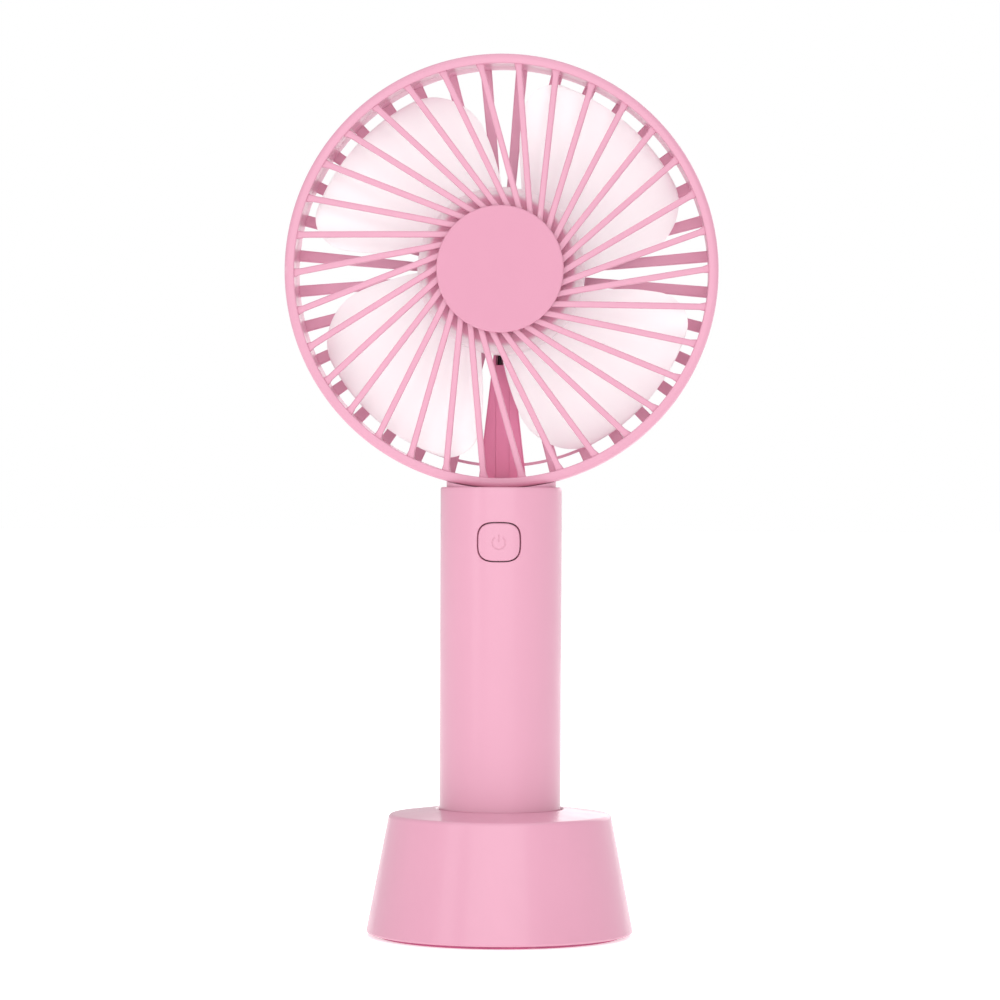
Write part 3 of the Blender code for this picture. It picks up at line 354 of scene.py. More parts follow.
def sliced(bm, spots, normal):
    """Cuts the faces along planes through each spot, and leaves both sides."""
    for spot in spots:
        everything = bm.verts[:] + bm.edges[:] + bm.faces[:]
        bmesh.ops.bisect_plane(bm, geom=everything, dist=HAIR, plane_co=spot, plane_no=normal)


def wrapped(bm, radius, step, turn=0.0, levels=()):
    """Bends a slab that lies along X, with its skin at y = 0, round the Z axis."""
    low = min(vert.co.x for vert in bm.verts)
    high = max(vert.co.x for vert in bm.verts)
    count = ceil((high - low) / step)
    sliced(bm, [(0, 0, level) for level in levels], (0, 0, 1))
    sliced(bm, [(low + (high - low) * i / count, 0, 0) for i in range(1, count)], (1, 0, 0))
    for vert in bm.verts:
        angle = vert.co.x / radius + radians(turn)
        out = radius - vert.co.y
        vert.co = Vector((out * sin(angle), -out * cos(angle), vert.co.z))
    return bm


def girth(x):
    """Distance round the handle to the point whose straight distance from the middle is x."""
    return HANDLE_RADIUS * asin(x / HANDLE_RADIUS)


def solid(name, bm):
    """An object of the bmesh, with its faces pointing out."""
    bmesh.ops.recalc_face_normals(bm, faces=bm.faces)
    mesh = bpy.data.meshes.new(name)
    bm.to_mesh(mesh)
    bm.free()
    made = bpy.data.objects.new(name, mesh)
    bpy.context.collection.objects.link(made)
    return made


def combined(target, operation, *tools):
    """Cuts or joins the tools, applies the result and takes the tools away."""
    for other in tools:
        change = target.modifiers.new(other.name, "BOOLEAN")
        change.operation = operation
        change.solver = "EXACT"
        change.object = other
    graph = bpy.context.evaluated_depsgraph_get()
    result = bpy.data.meshes.new_from_object(target.evaluated_get(graph))
    target.modifiers.clear()
    target.data = result
    for other in tools:
        bpy.data.objects.remove(other)
    return target


def reopened(made):
    """The object's mesh as a bmesh, and the object taken away."""
    bm = bmesh.new()
    bm.from_mesh(made.data)
    bpy.data.objects.remove(made)
    return bm


def piece(made, body, slot, material, *nodes, lift=0.0):
    """Finishes an object: its place, shading, material, body and the frame nodes it stands for."""
    made.data.transform(Matrix.Translation((0, 0, lift)))
    made.data.materials.clear()
    made.data.materials.append(material)
    made.data.shade_smooth()
    made.data.set_sharp_from_angle(angle=radians(38))
    weight = made.modifiers.new("Weighted normals", "WEIGHTED_NORMAL")
    weight.keep_sharp = True
    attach(made, body)
    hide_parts(*nodes)
    return made


# ---------------------------------------------------------------- materials

PLASTIC_IOR = 1.49


def add(tree, kind, inputs=None, **settings):
    """Adds a node with its settings. Each input takes a socket, which is linked, or a value."""
    made = tree.nodes.new(kind)
    for name, value in settings.items():
        setattr(made, name, value)
    for name, value in (inputs or {}).items():
        if isinstance(value, bpy.types.NodeSocket):
            tree.links.new(value, made.inputs[name])
        else:
            made.inputs[name].default_value = value
    return made


def maths(tree, operation, first, second=0.0):
    return add(tree, "ShaderNodeMath", {0: first, 1: second}, operation=operation).outputs[0]


def product(tree, *factors):
    result = factors[0]
    for factor in factors[1:]:
        result = maths(tree, "MULTIPLY", result, factor)
    return result


def ranged(tree, value, low, high, to_low=0.0, to_high=1.0):
    inputs = {"Value": value, "From Min": low, "From Max": high, "To Min": to_low, "To Max": to_high}
    return add(tree, "ShaderNodeMapRange", inputs).outputs["Result"]


def swinging(tree, value):
    """A noise, which stays near the middle of 0 to 1, spread out over -1 to 1."""
    return ranged(tree, value, 0.3, 0.7, -1.0, 1.0)


def mixed(tree, factor, first, second):
    """Mixes two colours. Inputs 0, 6 and 7 of the node are its factor and its two colours."""
    return add(tree, "ShaderNodeMix", {0: factor, 6: first, 7: second}, data_type="RGBA").outputs[2]


def toned(tree, tint, level):
    """A colour made lighter or darker by a level near 1."""
    return add(tree, "ShaderNodeHueSaturation", {"Value": level, "Color": tint}).outputs["Color"]


def object_spot(tree):
    return add(tree, "ShaderNodeTexCoord").outputs["Object"]


def mapped(tree, spot, **settings):
    return add(tree, "ShaderNodeMapping", {"Vector": spot, **settings}).outputs["Vector"]


def noise(tree, spot, scale, detail, **settings):
    inputs = {"Vector": spot, "Scale": scale, "Detail": detail, **settings}
    return add(tree, "ShaderNodeTexNoise", inputs).outputs[0]


def new_group(name, inputs, outputs):
    """A shader node group with named sockets: the group and its input and output nodes."""
    group = bpy.data.node_groups.new(name, "ShaderNodeTree")
    for label, value in inputs.items():
        kind = "NodeSocketColor" if isinstance(value, tuple) else "NodeSocketFloat"
        group.interface.new_socket(label, in_out="INPUT", socket_type=kind).default_value = value
    for label in outputs:
        kind = "NodeSocketColor" if label == "Colour" else "NodeSocketFloat"
        group.interface.new_socket(label, in_out="OUTPUT", socket_type=kind)
    return group, add(group, "NodeGroupInput").outputs, add(group, "NodeGroupOutput")


def fill(group, result, **sockets):
    for name, socket in sockets.items():
        group.links.new(socket, result.inputs[name])


def moulded_group():
    """Moulded plastic: slow flow marks in the colour, patches of gloss and a fine eroded grain."""
    inputs = {
        "Colour": (0.8, 0.4, 0.5, 1.0),
        "Mottle": 0.04,
        "Flow Scale": 55.0,
        "Grain Scale": 2600.0,
        "Roughness": 0.4,
        "Roughness Spread": 0.04,
    }
    group, given, result = new_group("Moulded Surface", inputs, ("Colour", "Roughness", "Height"))
    spot = object_spot(group)
    stretched = mapped(group, spot, Scale=(1.0, 1.0, 0.45))
    flow = noise(group, stretched, given["Flow Scale"], 4.0, Distortion=0.6)
    level = maths(group, "ADD", product(group, swinging(group, flow), given["Mottle"]), 1.0)
    gloss = swinging(group, noise(group, spot, 240.0, 5.0))
    rough = maths(group, "ADD", product(group, gloss, given["Roughness Spread"]), given["Roughness"])
    grain = noise(group, spot, given["Grain Scale"], 2.0)
    fill(group, result, Colour=toned(group, given["Colour"], level), Roughness=rough, Height=grain)
    return group


def edge_group():
    """Rubbed edges: a broken line of a second colour where the surface is most convex."""
    inputs = {"Colour": (0.8, 0.4, 0.5, 1.0), "Edge Colour": (0.9, 0.7, 0.8, 1.0), "Amount": 0.4}
    group, given, result = new_group("Rubbed Edges", inputs, ("Colour", "Mask"))
    convex = add(group, "ShaderNodeNewGeometry").outputs["Pointiness"]
    line = ranged(group, convex, 0.52, 0.6)
    broken = ranged(group, noise(group, object_spot(group), 420.0, 4.0), 0.4, 0.62)
    mask = product(group, line, broken, given["Amount"])
    fill(group, result, Colour=mixed(group, mask, given["Colour"], given["Edge Colour"]), Mask=mask)
    return group


def dust_group():
    """Fine dust that settles in specks on faces that look up."""
    inputs = {"Colour": (0.8, 0.4, 0.5, 1.0), "Dust Colour": (0.82, 0.8, 0.78, 1.0), "Amount": 0.2}
    group, given, result = new_group("Settled Dust", inputs, ("Colour", "Mask"))
    normal = add(group, "ShaderNodeNewGeometry").outputs["Normal"]
    up = add(group, "ShaderNodeSeparateXYZ", {"Vector": normal}).outputs["Z"]
    spot = object_spot(group)
    level_faces = ranged(group, up, 0.55, 0.98)
    specks = ranged(group, noise(group, spot, 1500.0, 6.0, Roughness=0.7), 0.52, 0.66)
    drifts = ranged(group, noise(group, spot, 90.0, 3.0), 0.35, 0.65)
    mask = product(group, level_faces, specks, drifts, given["Amount"])
    fill(group, result, Colour=mixed(group, mask, given["Colour"], given["Dust Colour"]), Mask=mask)
    return group


def streak_group():
    """Drawn or turned metal: fine streaks that run along the piece's Z."""
    inputs = {"Colour": (0.6, 0.6, 0.6, 1.0), "Contrast": 0.12, "Roughness": 0.3}
    group, given, result = new_group("Drawn Streaks", inputs, ("Colour", "Roughness", "Height"))
    pulled = mapped(group, object_spot(group), Scale=(1.0, 1.0, 0.04))
    lines = noise(group, pulled, 3200.0, 3.0)
    shift = product(group, swinging(group, lines), given["Contrast"])
    tint = toned(group, given["Colour"], maths(group, "ADD", shift, 1.0))
    rough = maths(group, "ADD", shift, given["Roughness"])
    fill(group, result, Colour=tint, Roughness=rough, Height=lines)
    return group


GROUP_MAKERS = {
    "Moulded Surface": moulded_group,
    "Rubbed Edges": edge_group,
    "Settled Dust": dust_group,
    "Drawn Streaks": streak_group,
}


def placed(tree, name, inputs):
    """Places a node group, which is made the first time it is needed."""
    made = add(tree, "ShaderNodeGroup")
    made.node_tree = bpy.data.node_groups.get(name) or GROUP_MAKERS[name]()
    for label, value in inputs.items():
        if isinstance(value, bpy.types.NodeSocket):
            tree.links.new(value, made.inputs[label])
        else:
            made.inputs[label].default_value = value
    return made.outputs


def moulded(tree, tint, mottle, roughness, **more):
    """The Moulded Surface group. A tint is a socket or three channels."""
    full = tint if isinstance(tint, bpy.types.NodeSocket) else (*tint, 1.0)
    inputs = {"Colour": full, "Mottle": mottle, "Roughness": roughness}
    inputs.update({name.replace("_", " ").title(): value for name, value in more.items()})
    return placed(tree, "Moulded Surface", inputs)


def rubbed(tree, tint, pale, amount):
    inputs = {"Colour": tint, "Edge Colour": (*pale, 1.0), "Amount": amount}
    return placed(tree, "Rubbed Edges", inputs)["Colour"]


def new_material(name, **values):
    """A material, its tree and its shader, whose sockets take the values given by name."""
    material = bpy.data.materials.new(name)
    material.use_nodes = True
    tree = material.node_tree
    shader = tree.nodes["Principled BSDF"]
    for label, value in values.items():
        shader.inputs[label.replace("_", " ")].default_value = value
    return material, tree, shader


def wire_up(tree, shader, tint, rough, height, depth):
    """Feeds the shader its colour, its roughness and a bump of that depth in metres."""
    tree.links.new(tint, shader.inputs["Base Color"])
    tree.links.new(rough, shader.inputs["Roughness"])
    bump = add(tree, "ShaderNodeBump", {"Height": height, "Distance": depth, "Strength": 1.0})
    tree.links.new(bump.outputs["Normal"], shader.inputs["Normal"])


def plastic(name, tint, roughness, mottle=0.03, grain=0.000006, edge=0.3, dust=0.1, glow=0.0, coat=0.0):
    """Moulded plastic with flow marks, grain, rubbed edges and a little dust."""
    values = {"IOR": PLASTIC_IOR, "Coat_Weight": coat, "Coat_Roughness": 0.12}
    if glow:
        radius = (1.0, 0.35, 0.5)
        values.update(Subsurface_Weight=glow, Subsurface_Radius=radius, Subsurface_Scale=1.5 * MM)
    material, tree, shader = new_material(name, **values)
    surface = moulded(tree, tint, mottle, roughness)
    pale = tuple(1 - (1 - channel) * 0.6 for channel in tint)
    worn = rubbed(tree, surface["Colour"], pale, edge)
    dusty = placed(tree, "Settled Dust", {"Colour": worn, "Amount": dust})
    rough = maths(tree, "ADD", surface["Roughness"], product(tree, dusty["Mask"], 0.3))
    wire_up(tree, shader, dusty["Colour"], rough, surface["Height"], grain)
    return material


def from_head(tree):
    """Position seen from the middle of the head, and the distance from its axis."""
    centred = mapped(tree, object_spot(tree), Location=(0, 0, -HEAD_Z))
    flat = add(tree, "ShaderNodeVectorMath", {0: centred, 1: (1, 0, 1)}, operation="MULTIPLY").outputs[0]
    radius = add(tree, "ShaderNodeVectorMath", {0: flat}, operation="LENGTH").outputs["Value"]
    return centred, radius


def cage_plastic(name, tint, strut_shade_tint):
    """The rear cage's pink, with painted shade: a deeper pink on the strut below the hub."""
    material, tree, shader = new_material(name, IOR=PLASTIC_IOR)
    centred, radius = from_head(tree)
    apart = add(tree, "ShaderNodeSeparateXYZ", {"Vector": centred}).outputs
    lean = maths(tree, "DIVIDE", maths(tree, "ABSOLUTE", apart["X"]), maths(tree, "MAXIMUM", radius, MM))
    narrow = ranged(tree, lean, 0.125, 0.115)
    low = ranged(tree, apart["Z"], -17 * MM, -19 * MM)
    inside = ranged(tree, radius, 51 * MM, 50 * MM)
    forward = ranged(tree, apart["Y"], 9 * MM, 7 * MM)
    # Painted shade: a mask of the strut, narrow, below the hub, inside the ring and near the front, which
    # gets the deeper pink.
    cage_shade_paint = product(tree, product(tree, narrow, low), product(tree, inside, forward))
    surface = moulded(tree, mixed(tree, cage_shade_paint, (*tint, 1.0), (*strut_shade_tint, 1.0)), 0.03, 0.42)
    dusty = placed(tree, "Settled Dust", {"Colour": surface["Colour"], "Amount": 0.12})
    wire_up(tree, shader, dusty["Colour"], surface["Roughness"], surface["Height"], 0.000006)
    return material


def milky_plastic(name, tint, painted_shade_tint):
    """The rotor's milky plastic, with painted shade: pink round the hub and a faint pink veil on the blade
    roots, standing for pink-tinted shade and light bounced from the pink parts in front.
    """
    material, tree, shader = new_material(
        name,
        IOR=PLASTIC_IOR,
        Subsurface_Weight=0.2,
        Subsurface_Radius=(1.0, 0.8, 0.85),
        Subsurface_Scale=2.5 * MM,
    )
    radius = from_head(tree)[1]
    # Painted shade: a pink ring close round the hub and a faint pink veil over the blade roots.
    core = ranged(tree, radius, 18.6 * MM, 17.4 * MM)
    painted_root_shade = ranged(tree, radius, 25 * MM, 19 * MM, 0.0, 0.1)
    share = maths(tree, "MAXIMUM", core, painted_root_shade)
    tinted = mixed(tree, share, (*tint, 1.0), (*painted_shade_tint, 1.0))
    surface = moulded(tree, tinted, 0.012, 0.34, grain_scale=1900.0, roughness_spread=0.05)
    worn = rubbed(tree, surface["Colour"], (0.98, 0.96, 0.97), 0.5)
    dusty = placed(tree, "Settled Dust", {"Colour": worn, "Amount": 0.06})
    wire_up(tree, shader, dusty["Colour"], surface["Roughness"], surface["Height"], 0.000004)
    return material


def metal(name, tint, roughness, contrast=0.1):
    """Drawn or turned metal with bright edges."""
    material, tree, shader = new_material(name, Metallic=1.0, Anisotropic=0.3)
    inputs = {"Colour": (*tint, 1.0), "Contrast": contrast, "Roughness": roughness}
    drawn = placed(tree, "Drawn Streaks", inputs)
    bright = tuple(min(1.0, channel * 1.3) for channel in tint)
    worn = rubbed(tree, drawn["Colour"], bright, 0.6)
    wire_up(tree, shader, worn, drawn["Roughness"], drawn["Height"], 0.000003)
    return material


def banded(name, tint, dark, scale, metallic, roughness):
    """Fine parallel bands, as a copper winding or a ribbed sleeve has them."""
    material, tree, shader = new_material(name, Metallic=metallic)
    inputs = {"Vector": object_spot(tree), "Scale": scale, "Distortion": 0.8, "Detail": 2.0}
    wave = add(tree, "ShaderNodeTexWave", inputs, bands_direction="Y").outputs[0]
    surface = moulded(tree, mixed(tree, wave, (*dark, 1.0), (*tint, 1.0)), 0.06, roughness)
    wire_up(tree, shader, surface["Colour"], surface["Roughness"], wave, 0.00005)
    return material


def board_material(name, tint):
    """Green circuit board: solder mask over tracks that run in straight steps."""
    material, tree, shader = new_material(name)
    inputs = {
        "Vector": mapped(tree, object_spot(tree), Rotation=(radians(90), 0, 0)),
        "Color1": (*tint, 1.0),
        "Color2": (tint[0] * 1.3, tint[1] * 1.15, tint[2] * 1.2, 1.0),
        "Mortar": (0.02, 0.12, 0.05, 1.0),
        "Scale": 260.0,
        "Mortar Size": 0.05,
    }
    tracks = add(tree, "ShaderNodeTexBrick", inputs)
    surface = moulded(tree, tracks.outputs["Color"], 0.05, 0.3)
    wire_up(tree, shader, surface["Colour"], surface["Roughness"], tracks.outputs["Fac"], 0.00003)
    return material


FINISHES = {}


def finish(name):
    return FINISHES[name]


class FAN_OT_make_finishes(bpy.types.Operator):
    """Make the procedural materials that the fan's pieces share"""

    bl_idname = "fan.make_finishes"
    bl_label = "Make Finishes"

    def execute(self, context):
        tints = context.scene.fan_finish
        pink, cage_shade_paint, strut, badge, milky, core, rubber, steel = (
            tuple(getattr(tints, name))
            for name in ("pink", "cage_pink_lightened", "strut", "badge", "milky", "core", "rubber", "steel")
        )
        copper = (0.72, 0.33, 0.17)
        lacquer = (0.30, 0.10, 0.05)
        blue = (0.09, 0.30, 0.50)
        navy = (0.08, 0.27, 0.46)
        FINISHES.update(
            {
                "shell pink": plastic("Pink Gloss", pink, 0.33, mottle=0.015, edge=0.0, coat=0.3),
                "guard pink": plastic("Pink Guard", pink, 0.36, mottle=0.02, edge=0.25),
                # The cage's pink is lightened against the shade it sits in, and its strut gets a deeper
                # pink as painted shade.
                "cage pink": cage_plastic("Pink Cage", cage_shade_paint, strut),
                "badge pink": plastic("Satin Badge", badge, 0.5, mottle=0.01, grain=0.000009, edge=0.5),
                "milky": milky_plastic("Milky Blades", milky, core),
                "rubber": plastic("Soft Rubber", rubber, 0.85, mottle=0.12, grain=0.00003, dust=0.25),
                "black": plastic("Black Plastic", (0.02, 0.02, 0.022), 0.45, mottle=0.08, dust=0.15),
                "red": plastic("Red Insulation", (0.55, 0.03, 0.025), 0.4, mottle=0.06),
                "lens": plastic("Lamp Lens", (0.82, 0.83, 0.80), 0.12, mottle=0.01, glow=0.5, coat=0.6),
                "steel": metal("Plated Steel", steel, 0.24),
                "bronze": metal("Porous Bronze", (0.58, 0.40, 0.20), 0.42, contrast=0.2),
                "gold": metal("Gold Contacts", (0.83, 0.61, 0.24), 0.22, contrast=0.06),
                "copper": banded("Copper Winding", copper, lacquer, 1400.0, 1.0, 0.35),
                "ferrite": plastic("Dark Ferrite", (0.055, 0.055, 0.06), 0.62, mottle=0.15, grain=0.00002),
                "sleeve": banded("Cell Sleeve", blue, navy, 120.0, 0.0, 0.3),
                "board": board_material("Circuit Board", (0.03, 0.20, 0.08)),
            }
        )
        return {"FINISHED"}


# ---------------------------------------------------------------- stand


def stand_radius(sizes, height):
    """Outer radius of the stand's wall at a height."""
    return sizes.foot_radius + (sizes.top_radius - sizes.foot_radius) * height / sizes.height


class FAN_OT_make_stand(bpy.types.Operator):
    """Make the stand's shell, with its socket, and the soft pad under it"""

    bl_idname = "fan.make_stand"
    bl_label = "Make Stand"

    def execute(self, context):
        sizes = context.scene.fan_stand
        self.make_shell(sizes)
        self.make_pad(sizes)
        return {"FINISHED"}

    def make_shell(self, sizes):
        socket = HANDLE_RADIUS + GAP
        basin = SOCKET_FLOOR - SOCKET_WALL
        low = STAND_LOW.z
        roof = sizes.height - STAND_WALL
        foot = 0.5 * MM
        mouth = sizes.mouth
        shoulder = (sizes.top_radius - sizes.shoulder, sizes.height - sizes.shoulder)
        outline = [
            *arc((stand_radius(sizes, low) - foot, low + foot), foot, -90, 8, 5),
            *arc(shoulder, sizes.shoulder, 10, 83, 8),
            *arc((socket + mouth, sizes.height + sizes.crown - mouth), mouth, 83, 180, 6),
            (socket, SOCKET_FLOOR),
            (0, SOCKET_FLOOR),
            (0, basin),
            (socket + SOCKET_WALL, basin),
            (socket + SOCKET_WALL, roof),
            (stand_radius(sizes, roof) - STAND_WALL, roof),
            (stand_radius(sizes, low) - STAND_WALL, low),
        ]
        shell = solid("stand_body", turned(outline, steps=192))
        piece(shell, "stand", "pink_plastic", finish("shell pink"), "stand_shell")

    def make_pad(self, sizes):
        radius = PAD_HIGH.x
        edge = 0.4 * MM
        first = 6 * MM
        pitch = 4.6 * MM
        half = 0.5 * MM
        depth = 0.4 * MM
        outline = [(0, 0)]
        for number in range(sizes.groove_count):
            spot = first + pitch * number
            steps = ((-half, 0), (-half / 2, depth), (half / 2, depth), (half, 0))
            outline += [(spot + across, height) for across, height in steps]
        outline += [*arc((radius - edge, edge), edge, -90, 0, 4), (radius, PAD_HIGH.z), (0, PAD_HIGH.z)]
        pad = solid("stand_pad", turned(outline, steps=128))
        piece(pad, "stand", "rubber_pad", finish("rubber"), "stand_foot_pad")


# ---------------------------------------------------------------- handle


def half_shell(name, sizes, windows, turn):
    """One half of the handle: a flat slab with its windows cut and edges softened, bent round Z."""
    seam = sizes.radius * pi / 2 - GAP / 2
    top = SHELL_HIGH.z
    foot = SHELL_LOW.z
    edge = sizes.top_edge
    seat, lip, bore = (sizes.radius - inner for inner in (NECK_SEAT_BORE, NECK_LIP_BORE, HANDLE_BORE))
    profile = [
        (0, foot),
        *arc((edge, top - edge), edge, 180, 90, 4),
        (seat, top),
        (seat, NECK_SEAT),
        (lip, NECK_SEAT),
        (lip, NECK_LIP_FOOT),
        (bore, NECK_LIP_FOOT),
        (bore, foot),
    ]
    slab = solid(name, prism(profile, "X", -seam, seam))
    cutters = [solid("window", prism(outline, "Y", -MM, 4 * MM)) for outline in windows]
    bm = reopened(combined(slab, "DIFFERENCE", *cutters))
    skin = corners(bm, lambda e: all(v.co.y < edge + HAIR for v in e.verts))
    soften(bm, skin, sizes.edge)
    heights = [height for outline in windows for _, height in outline]
    margin = 0.7 * MM
    levels = (min(heights) - margin, max(heights) + margin, foot + MM, top - edge - margin)
    return solid(name, wrapped(bm, sizes.radius, 0.55 * MM, turn, levels))


class FAN_OT_make_handle(bpy.types.Operator):
    """Make the two halves of the handle, with the windows for the button, the port and the lamp"""

    bl_idname = "fan.make_handle"
    bl_label = "Make Handle"

    def execute(self, context):
        sizes = context.scene.fan_handle
        gap = sizes.button_gap
        window = rounded(sizes.button_half_width + gap, sizes.button_half_height + gap, (0, BUTTON_Z))
        front = half_shell("handle_front", sizes, [window], 0)
        piece(front, "fan", "pink_plastic", finish("shell pink"), "handle_front_shell")
        port = rounded(4.35 * MM, 1.7 * MM, (0, PORT_Z), power=5)
        lamp = circle(1.45 * MM, (-girth(middle("charge_led").x), PORT_Z), 40)
        rear = half_shell("handle_rear", sizes, [port, lamp], 180)
        wells, bores = self.screw_wells()
        rear = combined(rear, "UNION", self.seam_lips())
        rear = combined(rear, "UNION", wells)
        rear = combined(rear, "DIFFERENCE", bores)
        piece(rear, "fan", "pink_plastic", finish("shell pink"), "handle_rear_shell")
        return {"FINISHED"}

    def screw_wells(self):
        """Tubes that the two screws stand in, and the bores of those tubes."""
        wells = bmesh.new()
        bores = bmesh.new()
        for node in HANDLE_SCREWS:
            spot = middle(node)
            prism(circle(2.9 * MM, (spot.x, spot.z), 48), "Y", 2 * MM, 13.4 * MM, wells)
            prism(circle(2.3 * MM, (spot.x, spot.z), 48), "Y", 4.2 * MM, 17 * MM, bores)
        return solid("wells", wells), solid("bores", bores)

    def seam_lips(self):
        """Thin lips inside the two seams, each with its root in the rear wall."""
        inner = HANDLE_BORE - 0.8 * MM
        back = 1.4 * MM
        tongue = (HANDLE_BORE - 0.1 * MM, -0.8 * MM)
        root = (HANDLE_BORE + 0.3 * MM, 0.2 * MM)
        heights = (CAP_HIGH.z + MM, NECK_LIP_FOOT - 0.5 * MM)
        lips = bmesh.new()
        for side in (-1, 1):
            for outer, near in (tongue, root):
                box(sorted((side * inner, side * outer)), (near, back), heights, lips)
        return solid("seam_lips", lips)


class FAN_OT_make_end_cap(bpy.types.Operator):
    """Make the cap that closes the battery tube, with its coin slot"""

    bl_idname = "fan.make_end_cap"
    bl_label = "Make End Cap"

    def execute(self, context):
        foot = CAP_LOW.z
        edge = 0.7 * MM
        lip = 0.22 * MM
        plug = HANDLE_BORE - GAP
        inside = plug - 1.8 * MM
        floor = foot + 2.7 * MM
        rim = SHELL_LOW.z - GAP
        outline = [
            (0, foot),
            *arc((HANDLE_RADIUS - edge, foot + edge), edge, -90, 0, 5),
            *arc((HANDLE_RADIUS - lip, rim - lip), lip, 0, 90, 3),
            (plug, rim),
            (plug, CAP_HIGH.z),
            (inside, CAP_HIGH.z),
            (inside, floor),
            (0, floor),
        ]
        cap = solid("end_cap", turned(outline, steps=160))
        reach = 6 * MM
        half = 0.9 * MM
        slot = box((-reach, reach), (-half, half), (foot - 2 * MM, foot + 1.3 * MM))
        soften(slot, corners(slot, lambda e: rise_of(e) > MM), 0.6 * MM)
        cap = combined(cap, "DIFFERENCE", solid("coin_slot", slot))
        piece(cap, "cap", "pink_plastic", finish("shell pink"), "bottom_cap")
        return {"FINISHED"}


class FAN_OT_make_button(bpy.types.Operator):
    """Make the button, bent to the handle, with a plain on-off sign sunk in its face"""

    bl_idname = "fan.make_button"
    bl_label = "Make Button"

    def execute(self, context):
        sizes = context.scene.fan_handle
        radius = sizes.radius + sizes.button_proud
        depth = radius - 10.8 * MM
        face = rounded(sizes.button_half_width, sizes.button_half_height, (0, BUTTON_Z))
        cap = prism(face, "Y", 0, depth)
        rim = corners(cap, lambda e: all(v.co.y < HAIR for v in e.verts))
        soften(cap, rim, 0.4 * MM, 4)
        button = combined(solid("button_cap", cap), "DIFFERENCE", *self.sign())
        bent = solid("button_cap", wrapped(reopened(button), radius, 0.4 * MM))
        lip = prism(rounded(5.9 * MM, 5.3 * MM, (0, BUTTON_Z)), "Y", -11.1 * MM, -10.45 * MM)
        button = combined(bent, "UNION", solid("button_lip", lip))
        piece(button, "button", "pink_plastic", finish("shell pink"), "power_button")
        return {"FINISHED"}

    def sign(self):
        """Cutters for an open ring with a short bar in its gap."""
        half = 0.17 * MM
        radius = 1.55 * MM
        sunk = 0.14 * MM
        start, end = 125, 415
        centre = (0, BUTTON_Z - 0.15 * MM)
        outer = arc(centre, radius + half, start, end, 40)
        inner = arc(centre, radius - half, end, start, 40)
        ring = prism(outer + inner, "Y", -MM, sunk)
        bar = prism(rectangle((-half, BUTTON_Z + 0.1 * MM), (half, BUTTON_Z + 1.75 * MM)), "Y", -MM, sunk)
        return solid("sign_ring", ring), solid("sign_bar", bar)


class FAN_OT_make_port(bpy.types.Operator):
    """Make the charging socket with its tongue and contacts, the lamp and the two handle screws"""

    bl_idname = "fan.make_port"
    bl_label = "Make Charging Port"

    def execute(self, context):
        self.make_socket()
        self.make_lamp()
        for node in HANDLE_SCREWS:
            self.make_screw(node)
        return {"FINISHED"}

    def make_socket(self):
        low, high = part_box("usb_socket")
        sheet = 0.3 * MM
        case = prism(rounded(high.x, (high.z - low.z) / 2, (0, PORT_Z), 6, 56), "Y", low.y, high.y)
        mouth = [face for face in case.faces if all(v.co.y > high.y - HAIR for v in face.verts)]
        bmesh.ops.inset_region(case, faces=mouth, thickness=sheet, use_even_offset=True)
        raised(case, mouth, (0, -(high.y - low.y - 2 * sheet), 0))
        bmesh.ops.delete(case, geom=[face for face in mouth if face.is_valid], context="FACES_ONLY")
        socket = solid("port_socket", case)
        piece(socket, "fan", "plated_steel", finish("steel"), "usb_socket")
        low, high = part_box("usb_tongue")
        tongue = box((low.x, high.x), (low.y, high.y), (low.z, high.z))
        soften(tongue, corners(tongue), 0.08 * MM, 2)
        piece(solid("port_tongue", tongue), "fan", "black_plastic", finish("black"), "usb_tongue")
        pins = bmesh.new()
        run = (low.y + MM, high.y - 0.3 * MM)
        heights = (low.z - 0.06 * MM, low.z + 0.1 * MM)
        for number in range(5):
            x = (number - 2) * 0.65 * MM
            box((x - 0.15 * MM, x + 0.15 * MM), run, heights, pins)
        piece(solid("port_contacts", pins), "fan", "bronze_bush", finish("gold"))

    def make_lamp(self):
        low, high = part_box("charge_led")
        radius = (high.x - low.x) / 2
        dome = 0.35 * MM
        reach = HANDLE_RADIUS - 0.15 * MM
        back = reach - 3.4 * MM
        outline = [
            (0, back),
            (radius, back),
            *arc((0, reach - dome), radius, 0, 67.5, 3, rise=dome),
            (0, reach),
        ]
        lens = turned(outline, "Y", 40)
        lean = asin(middle("charge_led").x / HANDLE_RADIUS)
        bmesh.ops.rotate(lens, verts=lens.verts, cent=ORIGIN, matrix=Matrix.Rotation(-lean, 3, "Z"))
        piece(solid("charge_lamp", lens), "fan", "led_lens", finish("lens"), "charge_led", lift=PORT_Z)

    def make_screw(self, node):
        low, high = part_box(node)
        spot = middle(node)
        head = (high.x - low.x) / 2
        shank = 0.9 * MM
        tip = 0.6 * MM
        seat = high.y - 0.9 * MM
        edge = 0.5 * MM
        crown = 0.6 * MM
        outline = [
            (0, low.y),
            (tip, low.y),
            (shank, low.y + 0.6 * MM),
            (shank, seat),
            (head, seat),
            *arc((head - edge, high.y - crown), edge, 0, 90, 5, rise=crown),
            (0, high.y),
        ]
        screw = solid(node + "_fine", turned(outline, "Y", 48))
        arm = 1.15 * MM
        half = 0.24 * MM
        depths = (high.y - 0.55 * MM, high.y + MM)
        cross = box((-arm, arm), depths, (-half, half))
        upright = box((-half, half), depths, (-arm, arm))
        screw = combined(screw, "DIFFERENCE", solid("cross", cross), solid("upright", upright))
        screw.data.transform(Matrix.Translation((spot.x, 0, 0)))
        piece(screw, "fan", "plated_steel", finish("steel"), node, lift=spot.z)


# ---------------------------------------------------------------- head


